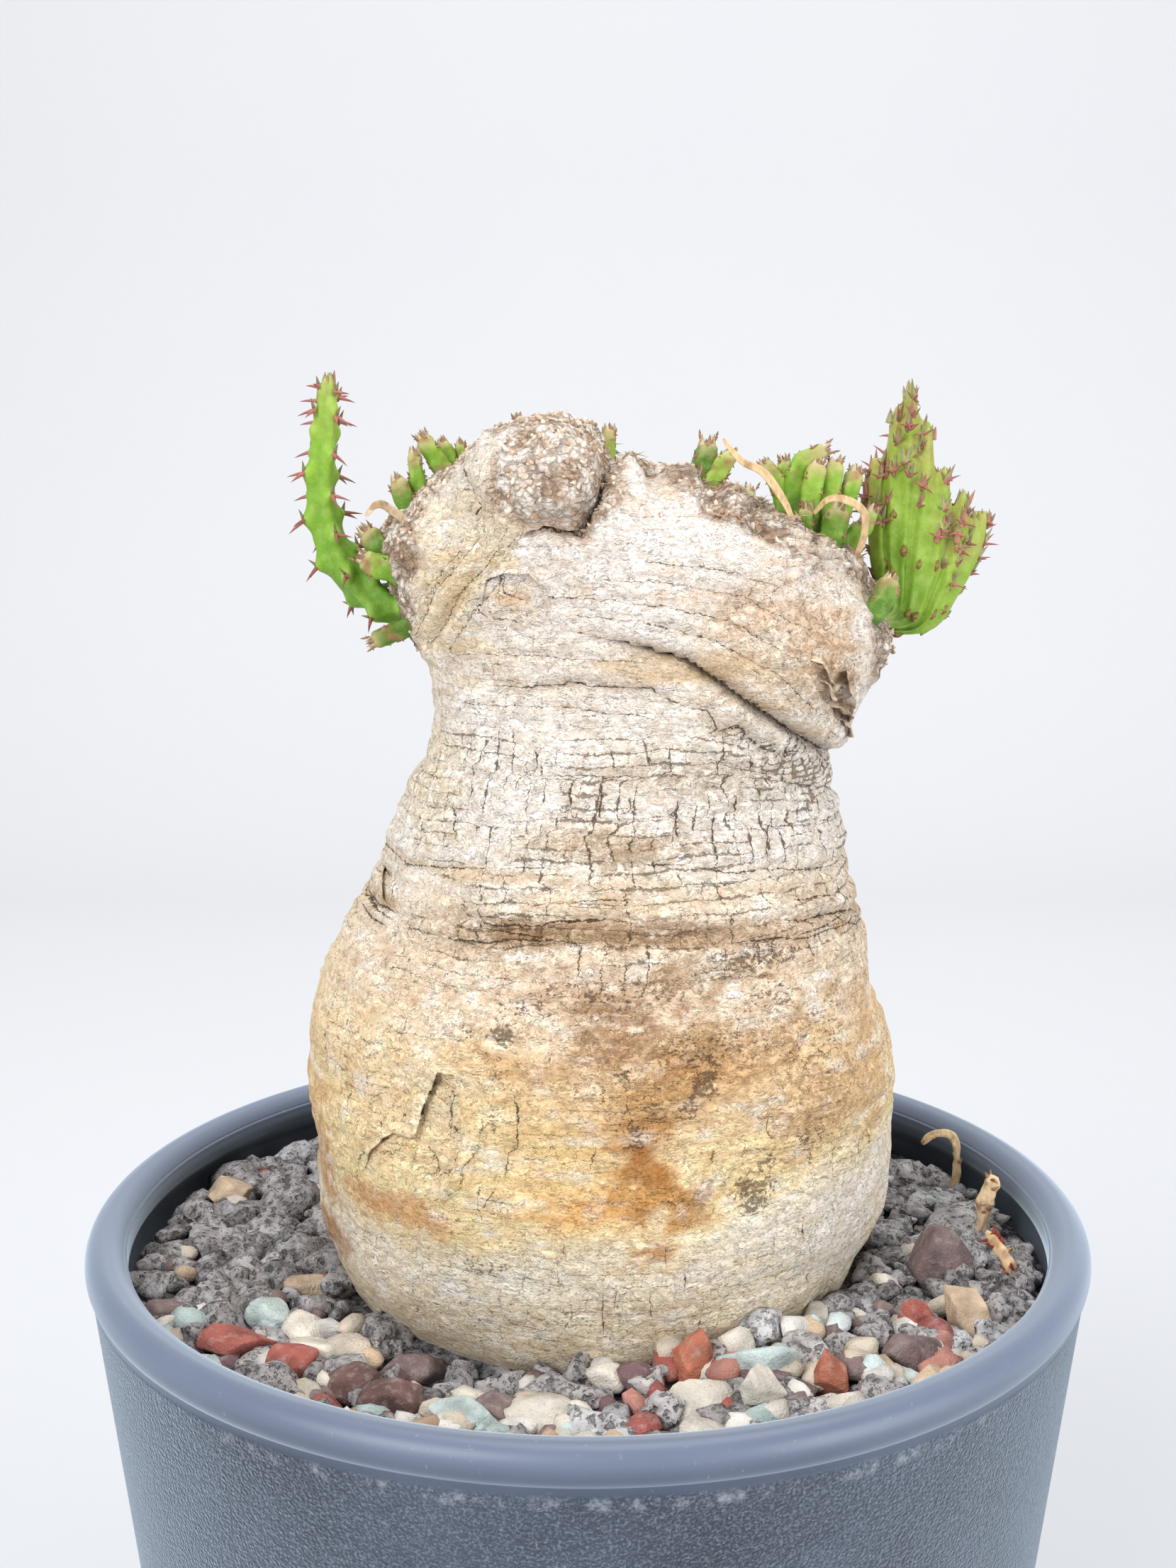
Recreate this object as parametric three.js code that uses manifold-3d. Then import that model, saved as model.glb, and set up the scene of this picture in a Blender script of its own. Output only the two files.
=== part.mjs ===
// A potted crested euphorbia: a swollen, bottle-shaped trunk (the caudex) with a fan-like crested head,
// short green shoots along the crest, a top dressing of mixed gravel, and a round tapered plastic pot.
// Units are millimetres. +Z is up, the origin is the middle of the pot's foot, and the front is -Y.
import * as THREE from "three";
import { mergeVertices } from "three/addons/utils/BufferGeometryUtils.js";
import Module from "manifold-3d";

const wasm = await Module();
wasm.setup();

// Driving dimensions of the pot.
const rimZ = 132; // height of the rim's inner edge
const rimInnerRadius = 69;
const rimCrownRadius = 72;
const rimOuterRadius = 75;
const rimCrownRise = 1.7; // crown above the inner edge
const rimBand = 4.2; // from the inner edge down to the textured body
const bodyTopRadius = 74.1;
const footRadius = 59;
const footHeight = 3;
const footRingWidth = 6;
const wall = 2.8;
const floorThickness = 3;
const drainRadius = 4;
const drainRing = 30; // radius of the circle that the outer drain holes stand on
const drainCount = 6;
const potSides = 40;

// Fill of the pot.
const soilTop = 112; // potting mix below, gravel above
const gap = 0.3; // clearance between neighbouring solids
const taper = (bodyTopRadius - footRadius) / (rimZ - rimBand);
const potInnerRadius = (z) => bodyTopRadius - wall - taper * (rimZ - rimBand - z);

// Resolution of the solids.
const caudexAround = 46;
const caudexRings = 41;
const bedAround = 86;
const bedRings = 11;

// The caudex as level sections: height above the rim's inner edge, left, right, front and back reach.
const caudexSections = [
  [-62, 1, 1, 0, 0],
  [-58, -4, 6, 5, 5],
  [-48, -9, 11, 10, 10],
  [-36, -16, 18, 17, 17],
  [-24, -25, 27.5, 26, 26],
  [-14, -32.5, 36, 33.5, 33.5],
  [-4, -38.7, 42, 39.5, 39.5],
  [4, -41, 44.8, 42, 42],
  [12, -41.7, 45.6, 43, 43],
  [24, -41.4, 45.3, 43, 43],
  [32, -40.9, 44.6, 42.3, 42],
  [38, -38.8, 42.2, 41, 40.5],
  [46, -34.8, 40.6, 38, 37.5],
  [54, -30.7, 38.4, 34.8, 34],
  [62, -28.4, 36.2, 31.5, 31],
  [68, -26.4, 34.6, 29.5, 29],
  [73, -23.9, 34.6, 28.5, 27.5],
  [78, -22.8, 37.2, 28, 26.5],
  [84, -22.9, 41.5, 27.8, 26],
  [88.3, -25.8, 43.6, 27.6, 25.5],
  [92, -27.3, 43.2, 27.4, 25],
  [96.5, -28.3, 41.2, 27.2, 24],
  [101, -28.7, 38.9, 27, 22.5],
  [104, -28.3, 34.8, 26.5, 21],
  [108, -25, 26, 25, 17],
  [110.4, -23, 18, 23.6, 14.5],
  [112, -20.6, 13.2, 22, 12],
  [114, -18.1, 4, 19, 7.5],
  [116.5, -14.4, 1.2, 14, 3],
  [118.3, -10.6, -2, 9.5, 0],
  [119.6, -6.6, -6.6, 4, -4],
];

// Creases on the front of the caudex, as x and height pairs, with their depth, half width and raised lip.
const frontCreases = [
  {
    line: [[-2, 90.4], [5.3, 89.8], [10.5, 88], [15.8, 85.9], [21.1, 83.3], [26.4, 79.6], [36, 73]],
    shape: { depth: 2.4, width: 1.2, lip: 2.2, reach: 7 },
  },
  {
    line: [[-12, 83.6], [-5.1, 84.3], [1.1, 84.4], [5.3, 84.1], [13.6, 82.2]],
    shape: { depth: 1.1, width: 0.9, lip: 0.8, reach: 3 },
  },
  {
    line: [[15.8, 80.7], [19, 78.5], [22.2, 77.5], [30.6, 75.9]],
    shape: { depth: 1.2, width: 1, lip: 1, reach: 2.5 },
  },
  {
    line: [[2.7, 114.3], [2.4, 110.2], [-0.4, 105.2], [-4.6, 104], [-9.3, 105.9]],
    shape: { depth: 3, width: 1.6, lip: 0, reach: 2 },
  },
  {
    line: [[-6.2, 103], [-11.4, 98.8], [-16.7, 93.6], [-19.9, 89.9]],
    shape: { depth: 1.2, width: 1.4, lip: 0, reach: 2 },
  },
];
const girdles = [
  { height: 52.5, depth: 1.1, width: 1.3 },
  { height: 57.5, depth: 0.5, width: 1.1 },
  { height: 41, depth: 0.5, width: 2 },
  { height: 66.5, depth: 0.6, width: 1.2 },
  { height: 83.5, depth: 0.7, width: 1.3 },
];
const headLump = { x: -8, height: 110.5, radiusX: 9.5, radiusZ: 6.5, rise: 3.6 };

// Slow waves of the skin: their rise, how many go around, how fast they climb and where they start.
const slowWaves = [
  { rise: 0.5, around: 3, climb: 1 / 9, start: 0 },
  { rise: 0.4, around: 5, climb: -1 / 13, start: 1 },
  { rise: 0.25, around: 2, climb: 1 / 3.1, start: 0 },
];
const crestCrumble = { from: 100, over: 8, rise: 0.55, around: [11, 7], climb: [1.3, -0.9] };
const girdleWander = 1.1; // how far a girdle leaves its level on the way around
const creaseFacing = 10; // depth behind the middle plane at which a front crease has its full depth
const smoothEnds = { bottom: -62, rampUp: 20, top: 119.6, rampDown: 3 };

// Green shoots: points run from the crest outwards, as x, y and height above the rim's inner edge.
const tallShoot = {
  name: "shoot_tall_left",
  points: [
    [-24, -2, 92.2],
    [-27.4, -2, 92.6],
    [-30, -2, 93.6],
    [-33.2, -2, 96],
    [-36, -2, 99.9],
    [-37.7, -2, 104.8],
    [-38.2, -2, 109.2],
    [-37.8, -2, 114],
    [-37.2, -2, 118.8],
    [-36.4, -2, 126.6],
  ],
  radius: 2.15,
  ribs: 4,
  ribTurn: Math.PI / 4,
  pitch: 5.2,
  sides: 8,
  rings: 25,
  spineLength: 2.5,
  spinyRibs: [0, 1, 2, 3],
  spinyFrom: 0.12,
  tip: 0.5,
};
const spineRadius = 0.34; // at the spine's foot
const spineFork = 0.42; // how far the two spines of a pair lean apart
const fanShape = {
  ribs: 4,
  ribTurn: Math.PI / 4,
  pitch: 5,
  sides: 8,
  rings: 9,
  spineLength: 2,
  spinyFrom: 0.42,
  tip: 0.55,
};
const fanColumns = [
  {
    points: [[40, 3, 91], [42.7, 3, 93], [43.2, 3, 100.7], [42.8, 3, 108.6], [42.1, 3, 114.4]],
    radius: 2.2,
    spinyRibs: [0, 1],
  },
  {
    points: [[40, 0, 91], [44.2, 0, 94], [45.5, -0.5, 103.4], [45.7, -0.5, 113.7], [46.5, 0, 124.6]],
    radius: 2.5,
    spinyRibs: [0, 1, 2, 3],
  },
  {
    points: [[41, -0.5, 92], [45.4, -1, 93], [46.8, -1.5, 101], [47.2, -1.5, 110], [48.3, -1, 119.4]],
    radius: 2.2,
    spinyRibs: [3],
  },
  {
    points: [[40, -2, 90.4], [45.7, -2, 90.4], [47.5, -3, 98.2], [48.9, -3, 106], [50.4, -2.5, 113.4]],
    radius: 2.4,
    spinyRibs: [3],
  },
  {
    points: [[40, -1, 89.6], [47.3, -1, 89.8], [50, -1.5, 96.9], [51.4, -1.5, 104.7], [52.9, -1, 110.4]],
    radius: 2.4,
    spinyRibs: [1, 3],
  },
  {
    points: [[40, 1, 89.6], [48.4, 1, 90.2], [52.5, 1.5, 96.9], [54.6, 1.5, 102.6], [55.4, 1.5, 107.2]],
    radius: 2.2,
    spinyRibs: [1, 2, 3],
  },
];

// Short shoots and buds. Each entry is one body: the stubs in it grow into each other at the foot.
const stubShape = { ribs: 4, pitch: 3.4, sides: 8, rings: 7, tip: 0.72 };
const stubClusters = [
  {
    name: "stubs_right_crest",
    stubs: [
      { points: [[28.4, -6, 104], [26.6, -6, 110.3], [24.6, -6, 113.2]], radius: 1.35 },
      { points: [[29, -5, 104], [28.1, -5, 109.4], [27.6, -5, 113.6]], radius: 1.4 },
      {
        points: [[30.2, -6.5, 103], [28.9, -6.5, 109.5], [30, -6.5, 113.2], [33.6, -6.5, 115.1]],
        radius: 1.5,
      },
      { points: [[31.2, -8, 102], [31, -8, 108], [32, -8, 113.2]], radius: 1.6 },
      { points: [[33, -6.5, 102], [33.8, -6.5, 108], [34.7, -6.5, 113.5]], radius: 1.6 },
      { points: [[34.4, -5.5, 101], [36.2, -5.5, 107], [37.8, -5.5, 112.3]], radius: 1.5 },
      { points: [[31, -10, 101.5], [30.2, -10, 104.5], [30.4, -10.5, 107.2]], radius: 1.2 },
      { points: [[33, -9, 100.5], [34.2, -9.5, 104], [35, -10, 107]], radius: 2 },
    ],
  },
  {
    name: "stub_right_shoulder",
    stubs: [
      {
        points: [[35, -3.5, 97], [37.6, -3.5, 102.6], [39.4, -3.5, 104.2], [40.6, -3.5, 106.6]],
        radius: 1.45,
      },
    ],
  },
  {
    name: "bud_right_low",
    stubs: [{ points: [[37.5, -10.5, 90], [40.8, -10.5, 93.5], [42.4, -10.5, 97.4]], radius: 1.9 }],
  },
  {
    name: "buds_mid_crest",
    stubs: [
      { points: [[15, -8, 105], [16, -8, 111], [16.6, -8, 116]], radius: 2.1 },
      { points: [[16, -9.5, 105], [17, -9.5, 109.6], [19.8, -9.5, 114.6]], radius: 1.6 },
    ],
  },
  {
    name: "stub_behind_lump",
    stubs: [{ points: [[3, 2, 106], [2.8, 2, 114], [3.1, 2, 118]], radius: 1.4 }],
  },
  {
    name: "bud_on_lump",
    stubs: [{ points: [[-9.5, 2.5, 110], [-10, 3, 117], [-10.3, 3, 119.6]], radius: 1 }],
  },
  {
    name: "stubs_left_high",
    stubs: [
      { points: [[-18, 1, 105], [-21, 1, 112.2], [-24, 1, 117]], radius: 1.6 },
      { points: [[-18, 3, 106], [-19.8, 3, 112.4], [-21.2, 3, 116.2]], radius: 1.3 },
      { points: [[-17, 4, 108], [-18, 4, 113.4], [-18.6, 4, 116]], radius: 1.1 },
    ],
  },
  {
    name: "stubs_left_shoulder",
    stubs: [
      { points: [[-22, -3, 102], [-25.6, -3, 107], [-27.2, -3, 111]], radius: 1.8 },
      { points: [[-21, -1.5, 103], [-24, -1.5, 109], [-24.8, -1.5, 114.8]], radius: 1.3 },
    ],
  },
  {
    name: "buds_left_crest",
    stubs: [
      { points: [[-25, -4, 100], [-29, -4, 101], [-31.8, -4, 103.6]], radius: 2 },
      { points: [[-25, -6, 98], [-29.4, -6.5, 98.6], [-32, -7, 100]], radius: 2 },
    ],
  },
  {
    name: "bud_left_low",
    stubs: [{ points: [[-22, -5, 91], [-26.8, -6, 89.6], [-30.8, -7, 88]], radius: 1.6 }],
  },
  {
    name: "stubs_back_left",
    stubs: [
      { points: [[-14, 12, 103], [-16, 18, 108], [-17.5, 20, 114]], radius: 1.7 },
      { points: [[-11, 13, 104], [-12, 18, 109], [-12, 20, 113]], radius: 1.6 },
    ],
  },
  {
    name: "stub_back_mid",
    stubs: [{ points: [[-1, 12, 103], [-1, 16, 109], [0, 19, 118]], radius: 1.9 }],
  },
  {
    name: "stubs_back_right",
    stubs: [
      { points: [[17, 12, 99], [19, 18, 105], [20, 21, 112]], radius: 1.7 },
      { points: [[20, 11, 98], [23, 17, 104], [25, 19, 109]], radius: 1.6 },
    ],
  },
];

// Dried leaves on the crest and dead twigs in the gravel: thin strips with a flat section.
const dryStrips = [
  {
    name: "dry_leaf_mid",
    points: [[18.4, -12.6, 116.4], [21, -13, 113.4], [24.4, -13.4, 111.4], [28, -12, 105.4], [27.6, -9, 100]],
    width: 1.5,
  },
  {
    name: "dry_leaf_right",
    points: [[31.4, -13.2, 105], [33.2, -14, 109.4], [36.2, -14, 108.6], [38.6, -13.4, 105], [36, -8, 94]],
    width: 1.7,
  },
  {
    name: "dry_leaf_left",
    points: [[-23, -7.5, 103], [-27.4, -8, 106.6], [-29.4, -8.4, 107.4], [-31.2, -8.6, 105.8]],
    width: 1.2,
  },
];
const twigs = [
  {
    name: "twig_hooked",
    points: [[61, 24, -10], [61.4, 24, -2], [60.6, 24, 2.4], [57.6, 24, 3], [55.6, 24, 1.2]],
    width: 1.5,
  },
  {
    name: "twig_gnarled",
    points: [[61.2, 4, -10], [61.6, 4, -4], [62, 4, 0], [63.4, 4, 3.6]],
    width: 2.3,
  },
  {
    name: "twig_red",
    points: [[62, -12, -10], [62.4, -12, -4.5], [61, -11, -1.5], [59.4, -9, 0.2]],
    width: 1.9,
  },
];

// Pebbles that stand out from the rest: place in plan, half sizes, turn about Z and colour family.
const pebbles = [
  { name: "pebble_red_left", at: [-48, -33.5], half: [4.4, 3, 2.6], turn: 10, colour: "terracotta" },
  { name: "pebble_red_small", at: [-39.6, -38.4], half: [2.9, 2.2, 2.2], turn: -20, colour: "terracotta" },
  { name: "pebble_maroon_left", at: [-24, -48.5], half: [4.1, 3, 2.8], turn: -12, colour: "maroon" },
  { name: "pebble_maroon_round", at: [-31, -43.6], half: [2.6, 2.4, 2.4], turn: 30, colour: "maroon" },
  { name: "pebble_green_left", at: [-45, -22.4], half: [3.1, 2.4, 2.3], turn: -25, colour: "mint" },
  { name: "pebble_tan_back", at: [-59, 19.5], half: [4.1, 3, 2.8], turn: 15, colour: "sand" },
  { name: "pebble_mint_front", at: [-16.6, -53], half: [3.2, 2.2, 1.9], turn: 8, colour: "mint" },
  { name: "pebble_orange_mid", at: [13, -43.5], half: [2.3, 2, 3], turn: 14, colour: "orange" },
  { name: "pebble_mint_big", at: [22, -45.5], half: [4, 2.2, 2.7], turn: -8, colour: "mint" },
  { name: "pebble_cream_big", at: [22.4, -52], half: [2.9, 2.3, 3.4], turn: 12, colour: "cream" },
  { name: "pebble_orange_right", at: [31, -48], half: [2.2, 1.9, 3.1], turn: -24, colour: "orange" },
  { name: "pebble_purple", at: [42.6, -40], half: [3.7, 2.7, 2.6], turn: 6, colour: "mauve" },
  { name: "pebble_red_right", at: [45.4, -29.6], half: [2.2, 1.9, 3.1], turn: 20, colour: "terracotta" },
  { name: "pebble_tan_right", at: [53.4, -27], half: [3.7, 3, 3.6], turn: -30, colour: "sand" },
  { name: "pebble_round_grey", at: [51.6, -8.6], half: [4.3, 4, 3.9], turn: 0, colour: "mauve" },
  { name: "pebble_pink_front", at: [14.4, -60], half: [3.1, 2.1, 2.6], turn: 4, colour: "cream" },
];
const pebbleSink = 0.35; // share of a pebble's half height that its middle lies above the bed

// Colours and finishes.
const paint = (hex, roughness) => new THREE.MeshStandardMaterial({ color: hex, roughness, metalness: 0 });
const finishes = {
  pot: paint(0x59616e, 0.6),
  soil: paint(0x3f342b, 1),
  gravel: paint(0x8c8786, 1),
  caudex: paint(0xd8c4a2, 0.85),
  shoot: paint(0x7cab3c, 0.45),
  dry: paint(0xd0b083, 0.9),
  terracotta: paint(0xb4543f, 0.9),
  orange: paint(0xc8683c, 0.9),
  maroon: paint(0x74504b, 0.9),
  mint: paint(0xa9c9bd, 0.8),
  cream: paint(0xddcbb0, 0.85),
  sand: paint(0xc3a27c, 0.9),
  mauve: paint(0x8b7778, 0.9),
};

// A repeatable stream of numbers from 0 to 1.
function seededRandom(seed) {
  let state = seed >>> 0;
  return () => {
    state = (Math.imul(state, 1664525) + 1013904223) >>> 0;
    return state / 4294967296;
  };
}

// Smooth curve through rows of numbers: the first number is where, the rest are the values there.
function curveThrough(rows, at) {
  let i = 0;
  while (i < rows.length - 2 && at > rows[i + 1][0]) i++;
  const span = rows[i + 1][0] - rows[i][0];
  const t = Math.min(1, Math.max(0, (at - rows[i][0]) / span));
  const before = rows[Math.max(0, i - 1)];
  const after = rows[Math.min(rows.length - 1, i + 2)];
  return rows[i].slice(1).map((value, k) => {
    const next = rows[i + 1][k + 1];
    const slopeHere = ((next - before[k + 1]) / (rows[i + 1][0] - before[0])) * span;
    const slopeNext = ((after[k + 1] - value) / (after[0] - rows[i][0])) * span;
    const rise = t * t * (3 - 2 * t);
    return value + (next - value) * rise + t * (1 - t) * ((1 - t) * slopeHere - t * slopeNext);
  });
}

// Three.js geometry to a manifold solid and back.
function solidOf(geometry) {
  const bare = geometry.index ? geometry.toNonIndexed() : geometry;
  const position = new THREE.BufferGeometry().setAttribute("position", bare.getAttribute("position"));
  const merged = mergeVertices(position, 1e-4);
  const index = merged.index.array;
  const kept = [];
  for (let i = 0; i < index.length; i += 3) {
    const [a, b, c] = [index[i], index[i + 1], index[i + 2]];
    if (a !== b && b !== c && c !== a) kept.push(a, b, c);
  }
  const vertProperties = merged.attributes.position.array;
  return new wasm.Manifold(new wasm.Mesh({ numProp: 3, vertProperties, triVerts: new Uint32Array(kept) }));
}
function geometryOf(solid) {
  const mesh = solid.getMesh();
  const position = new Float32Array(mesh.numVert * 3);
  for (let i = 0; i < mesh.numVert; i++) {
    position.set(mesh.vertProperties.subarray(i * mesh.numProp, i * mesh.numProp + 3), i * 3);
  }
  const geometry = new THREE.BufferGeometry();
  geometry.setAttribute("position", new THREE.BufferAttribute(position, 3));
  geometry.setIndex(new THREE.BufferAttribute(new Uint32Array(mesh.triVerts), 1));
  geometry.computeVertexNormals();
  return geometry;
}
const largestPiece = (solid) => solid.decompose().sort((a, b) => b.volume() - a.volume())[0];

// Moves each vertex of a sphere to the place that the function gives for its turn and its share of the
// way up.
function wrapSphere(around, rings, place) {
  const geometry = new THREE.SphereGeometry(1, around, rings);
  const position = geometry.attributes.position;
  const uv = geometry.attributes.uv;
  for (let i = 0; i < position.count; i++) {
    const ring = Math.round(uv.getY(i) * rings);
    const onPole = ring === 0 || ring === rings;
    const turn = onPole ? 0 : ((Math.round((i % (around + 1))) % around) / around) * 2 * Math.PI;
    const p = place(turn, ring / rings);
    position.setXYZ(i, p.x, p.y, p.z);
  }
  const solid = solidOf(geometry);
  return solid.volume() < 0 ? solidOf(flipped(geometry)) : solid;
}
function flipped(geometry) {
  const index = geometry.index.array;
  for (let i = 0; i < index.length; i += 3) [index[i + 1], index[i + 2]] = [index[i + 2], index[i + 1]];
  return geometry;
}

// Share of the way up the caudex's outline, by its length, to a height: rings are spaced evenly along it.
const outlineLengths = caudexSections.map(() => 0);
for (let i = 1; i < caudexSections.length; i++) {
  const change = caudexSections[i].map((value, k) => value - caudexSections[i - 1][k]);
  const detail = caudexSections[i][0] > 70 ? 1.35 : caudexSections[i][0] < -10 ? 0.45 : 1;
  const widest = Math.max(...change.map(Math.abs));
  outlineLengths[i] = outlineLengths[i - 1] + detail * Math.hypot(change[0], widest);
}
function heightAtShare(share) {
  const target = share * outlineLengths.at(-1);
  let i = 0;
  while (i < outlineLengths.length - 2 && target > outlineLengths[i + 1]) i++;
  const t = (target - outlineLengths[i]) / (outlineLengths[i + 1] - outlineLengths[i]);
  return caudexSections[i][0] + t * (caudexSections[i + 1][0] - caudexSections[i][0]);
}

// Smooth skin of the caudex at a turn and a height, before its creases. A turn of 0 is +X, a quarter +Y.
function caudexSkin(turn, height) {
  const [left, right, front, back] = curveThrough(caudexSections, height);
  const reachY = Math.sin(turn) < 0 ? front : back;
  const x = (left + right) / 2 + ((right - left) / 2) * Math.cos(turn);
  return new THREE.Vector3(x, reachY * Math.sin(turn), rimZ + height);
}

// Distance from a point to a drawn line, and on which side the point lies: 1 is above or to the left.
function distanceToLine(line, x, z) {
  let best = { distance: Infinity, side: 1 };
  for (let i = 1; i < line.length; i++) {
    const [ax, az] = line[i - 1];
    const [dx, dz] = [line[i][0] - ax, line[i][1] - az];
    const t = ((x - ax) * dx + (z - az) * dz) / (dx * dx + dz * dz);
    const held = Math.min(1, Math.max(0, t));
    const distance = Math.hypot(x - ax - held * dx, z - az - held * dz);
    if (distance < best.distance) best = { distance, side: dx * (z - az) - dz * (x - ax) > 0 ? 1 : -1 };
  }
  return best;
}
const bell = (x) => Math.exp(-x * x);

// How far the skin stands out of the smooth shape: creases and their lips, girdles, the lump and waves.
function caudexRelief(p) {
  const height = p.z - rimZ;
  const turn = Math.atan2(p.y, p.x);
  let relief = 0;
  for (const { rise, around, climb, start } of slowWaves) {
    relief += rise * Math.sin(around * turn + climb * height + start);
  }
  for (const girdle of girdles) {
    const level = girdle.height + girdleWander * Math.sin(2 * turn + girdle.height);
    relief -= girdle.depth * bell((height - level) / girdle.width);
  }
  if (p.y < 0) {
    const facing = Math.min(1, -p.y / creaseFacing);
    for (const { line, shape } of frontCreases) {
      const { distance, side } = distanceToLine(line, p.x, height);
      relief -= facing * shape.depth * bell(distance / shape.width);
      if (side > 0) relief += facing * shape.lip * bell((distance - shape.reach * 0.5) / shape.reach);
    }
    const lumpX = (p.x - headLump.x) / headLump.radiusX;
    const lumpZ = (height - headLump.height) / headLump.radiusZ;
    relief += facing * headLump.rise * bell(Math.hypot(lumpX, lumpZ) ** 2);
  }
  const { from, over, rise, around, climb } = crestCrumble;
  const crumbs = around.map((count, k) => Math.sin(count * turn + climb[k] * height));
  relief += Math.min(1, Math.max(0, (height - from) / over)) * rise * crumbs[0] * crumbs[1];
  const below = (smoothEnds.top - height) / smoothEnds.rampDown;
  const above = (height - smoothEnds.bottom) / smoothEnds.rampUp;
  return relief * Math.max(0, Math.min(1, below, above));
}

// The whole caudex, grown outwards by a margin when it is used to cut a socket for itself.
function caudexSolid(margin = 0) {
  return wrapSphere(caudexAround, caudexRings, (turn, share) => {
    const height = heightAtShare(share);
    const p = caudexSkin(turn, height);
    const step = 0.4;
    const alongTurn = caudexSkin(turn + 0.02, height).sub(caudexSkin(turn - 0.02, height));
    const upper = caudexSkin(turn, Math.min(119.5, height + step));
    const lower = caudexSkin(turn, Math.max(-61.9, height - step));
    const normal = alongTurn.cross(upper.sub(lower)).normalize();
    if (share === 0) normal.set(0, 0, -1);
    if (share === 1) normal.set(0, 0, 1);
    return p.addScaledVector(normal, caudexRelief(p) + margin);
  });
}

// A smooth path through points of x, y and height above the rim's inner edge, with a frame at each share.
function pathThrough(points) {
  const curve = new THREE.CatmullRomCurve3(points.map(([x, y, z]) => new THREE.Vector3(x, y, rimZ + z)));
  const at = (share) => {
    const ahead = curve.getTangentAt(share);
    const side = ahead.clone().cross(new THREE.Vector3(0, 1, 0)).normalize();
    const over = side.clone().cross(ahead).normalize();
    return { middle: curve.getPointAt(share), ahead, side, over };
  };
  return { length: curve.getLength(), at };
}

// A ribbed green shoot along a path. Its knobs sit on alternate ribs at each pitch, and its ends are rounded.
function shootSolid(spec, margin = 0) {
  const { points, radius, ribs, pitch, sides, rings, tip, ribTurn = 0 } = spec;
  const path = pathThrough(points);
  return wrapSphere(sides, rings, (turn, share) => {
    const { middle, ahead, side, over } = path.at(share);
    const endRound = Math.sqrt(Math.max(0, 1 - Math.max(0, (share - 0.86) / 0.14) ** 2));
    const footRound = Math.sqrt(Math.max(0, 1 - Math.max(0, (0.08 - share) / 0.08) ** 2));
    const body = radius * (1 - (1 - tip) * share ** 3);
    const knobs = knobHeight(ribs, turn - ribTurn, (share * path.length) / pitch);
    const reach = (body * (0.9 + 0.3 * knobs) + margin) * endRound * footRound;
    const end = share === 1 ? margin : share === 0 ? -margin : 0;
    return middle
      .addScaledVector(side, reach * Math.cos(turn))
      .addScaledVector(over, reach * Math.sin(turn))
      .addScaledVector(ahead, end);
  });
}

// Height of the knobs on a shoot, from 0 in a groove to 1 on a knob.
function knobHeight(ribs, turn, pitches) {
  let knobs = 0;
  for (let k = 0; k < ribs; k++) {
    const away = Math.cos(turn - (2 * Math.PI * k) / ribs);
    const onRib = Math.max(0, away) ** 6;
    knobs += onRib * (0.55 + 0.45 * Math.cos(2 * Math.PI * (pitches + (k % 2) / 2)));
  }
  return knobs;
}

// Forked spines on the knobs of some of a shoot's ribs, sunk well into it.
function spinesOn(spec) {
  const { points, radius, ribs, ribTurn, pitch, spineLength, spinyRibs, spinyFrom } = spec;
  const path = pathThrough(points);
  const spines = [];
  for (const k of spinyRibs) {
    for (let j = 1; (j + (k % 2) / 2) * pitch < 0.99 * path.length; j++) {
      const share = ((j + (k % 2) / 2) * pitch) / path.length;
      if (share < spinyFrom) continue;
      const { middle, ahead, side, over } = path.at(share);
      const turn = ribTurn + (2 * Math.PI * k) / ribs;
      const out = side.clone().multiplyScalar(Math.cos(turn)).addScaledVector(over, Math.sin(turn));
      const sideways = ahead.clone().cross(out).normalize();
      const foot = middle.addScaledVector(out, radius * 0.75);
      for (const fork of [-spineFork, spineFork]) {
        const direction = out.clone().addScaledVector(sideways, fork).normalize();
        const cone = new THREE.ConeGeometry(spineRadius, spineLength, 3).translate(0, spineLength / 2, 0);
        cone.applyQuaternion(new THREE.Quaternion().setFromUnitVectors(THREE.Object3D.DEFAULT_UP, direction));
        spines.push(solidOf(cone.translate(foot.x, foot.y, foot.z)));
      }
    }
  }
  return spines;
}

// A thin strip along a curve, pointed at its free end.
function stripSolid(spec, margin = 0) {
  const path = pathThrough(spec.points);
  return wrapSphere(6, 9, (turn, share) => {
    const { middle, side, over } = path.at(share);
    const full = share === 0 || share === 1 ? 0 : Math.min(1, 0.45 + 3 * share * (1 - share));
    const halfThick = Math.max(0.42, spec.width * 0.32) + margin;
    return middle
      .addScaledVector(side, full * halfThick * Math.cos(turn))
      .addScaledVector(over, full * (spec.width / 2 + margin) * Math.sin(turn));
  });
}

// Level of the gravel bed under its stones: low all round, with a mound at the front right.
function bedLevel(x, y) {
  const mound = 4.2 * bell(Math.hypot((x - 24) / 26, (y + 38) / 18));
  const dip = 2.6 * bell(Math.hypot((x + 18) / 14, (y + 40) / 9));
  return rimZ - 7.4 + mound - dip;
}

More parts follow.
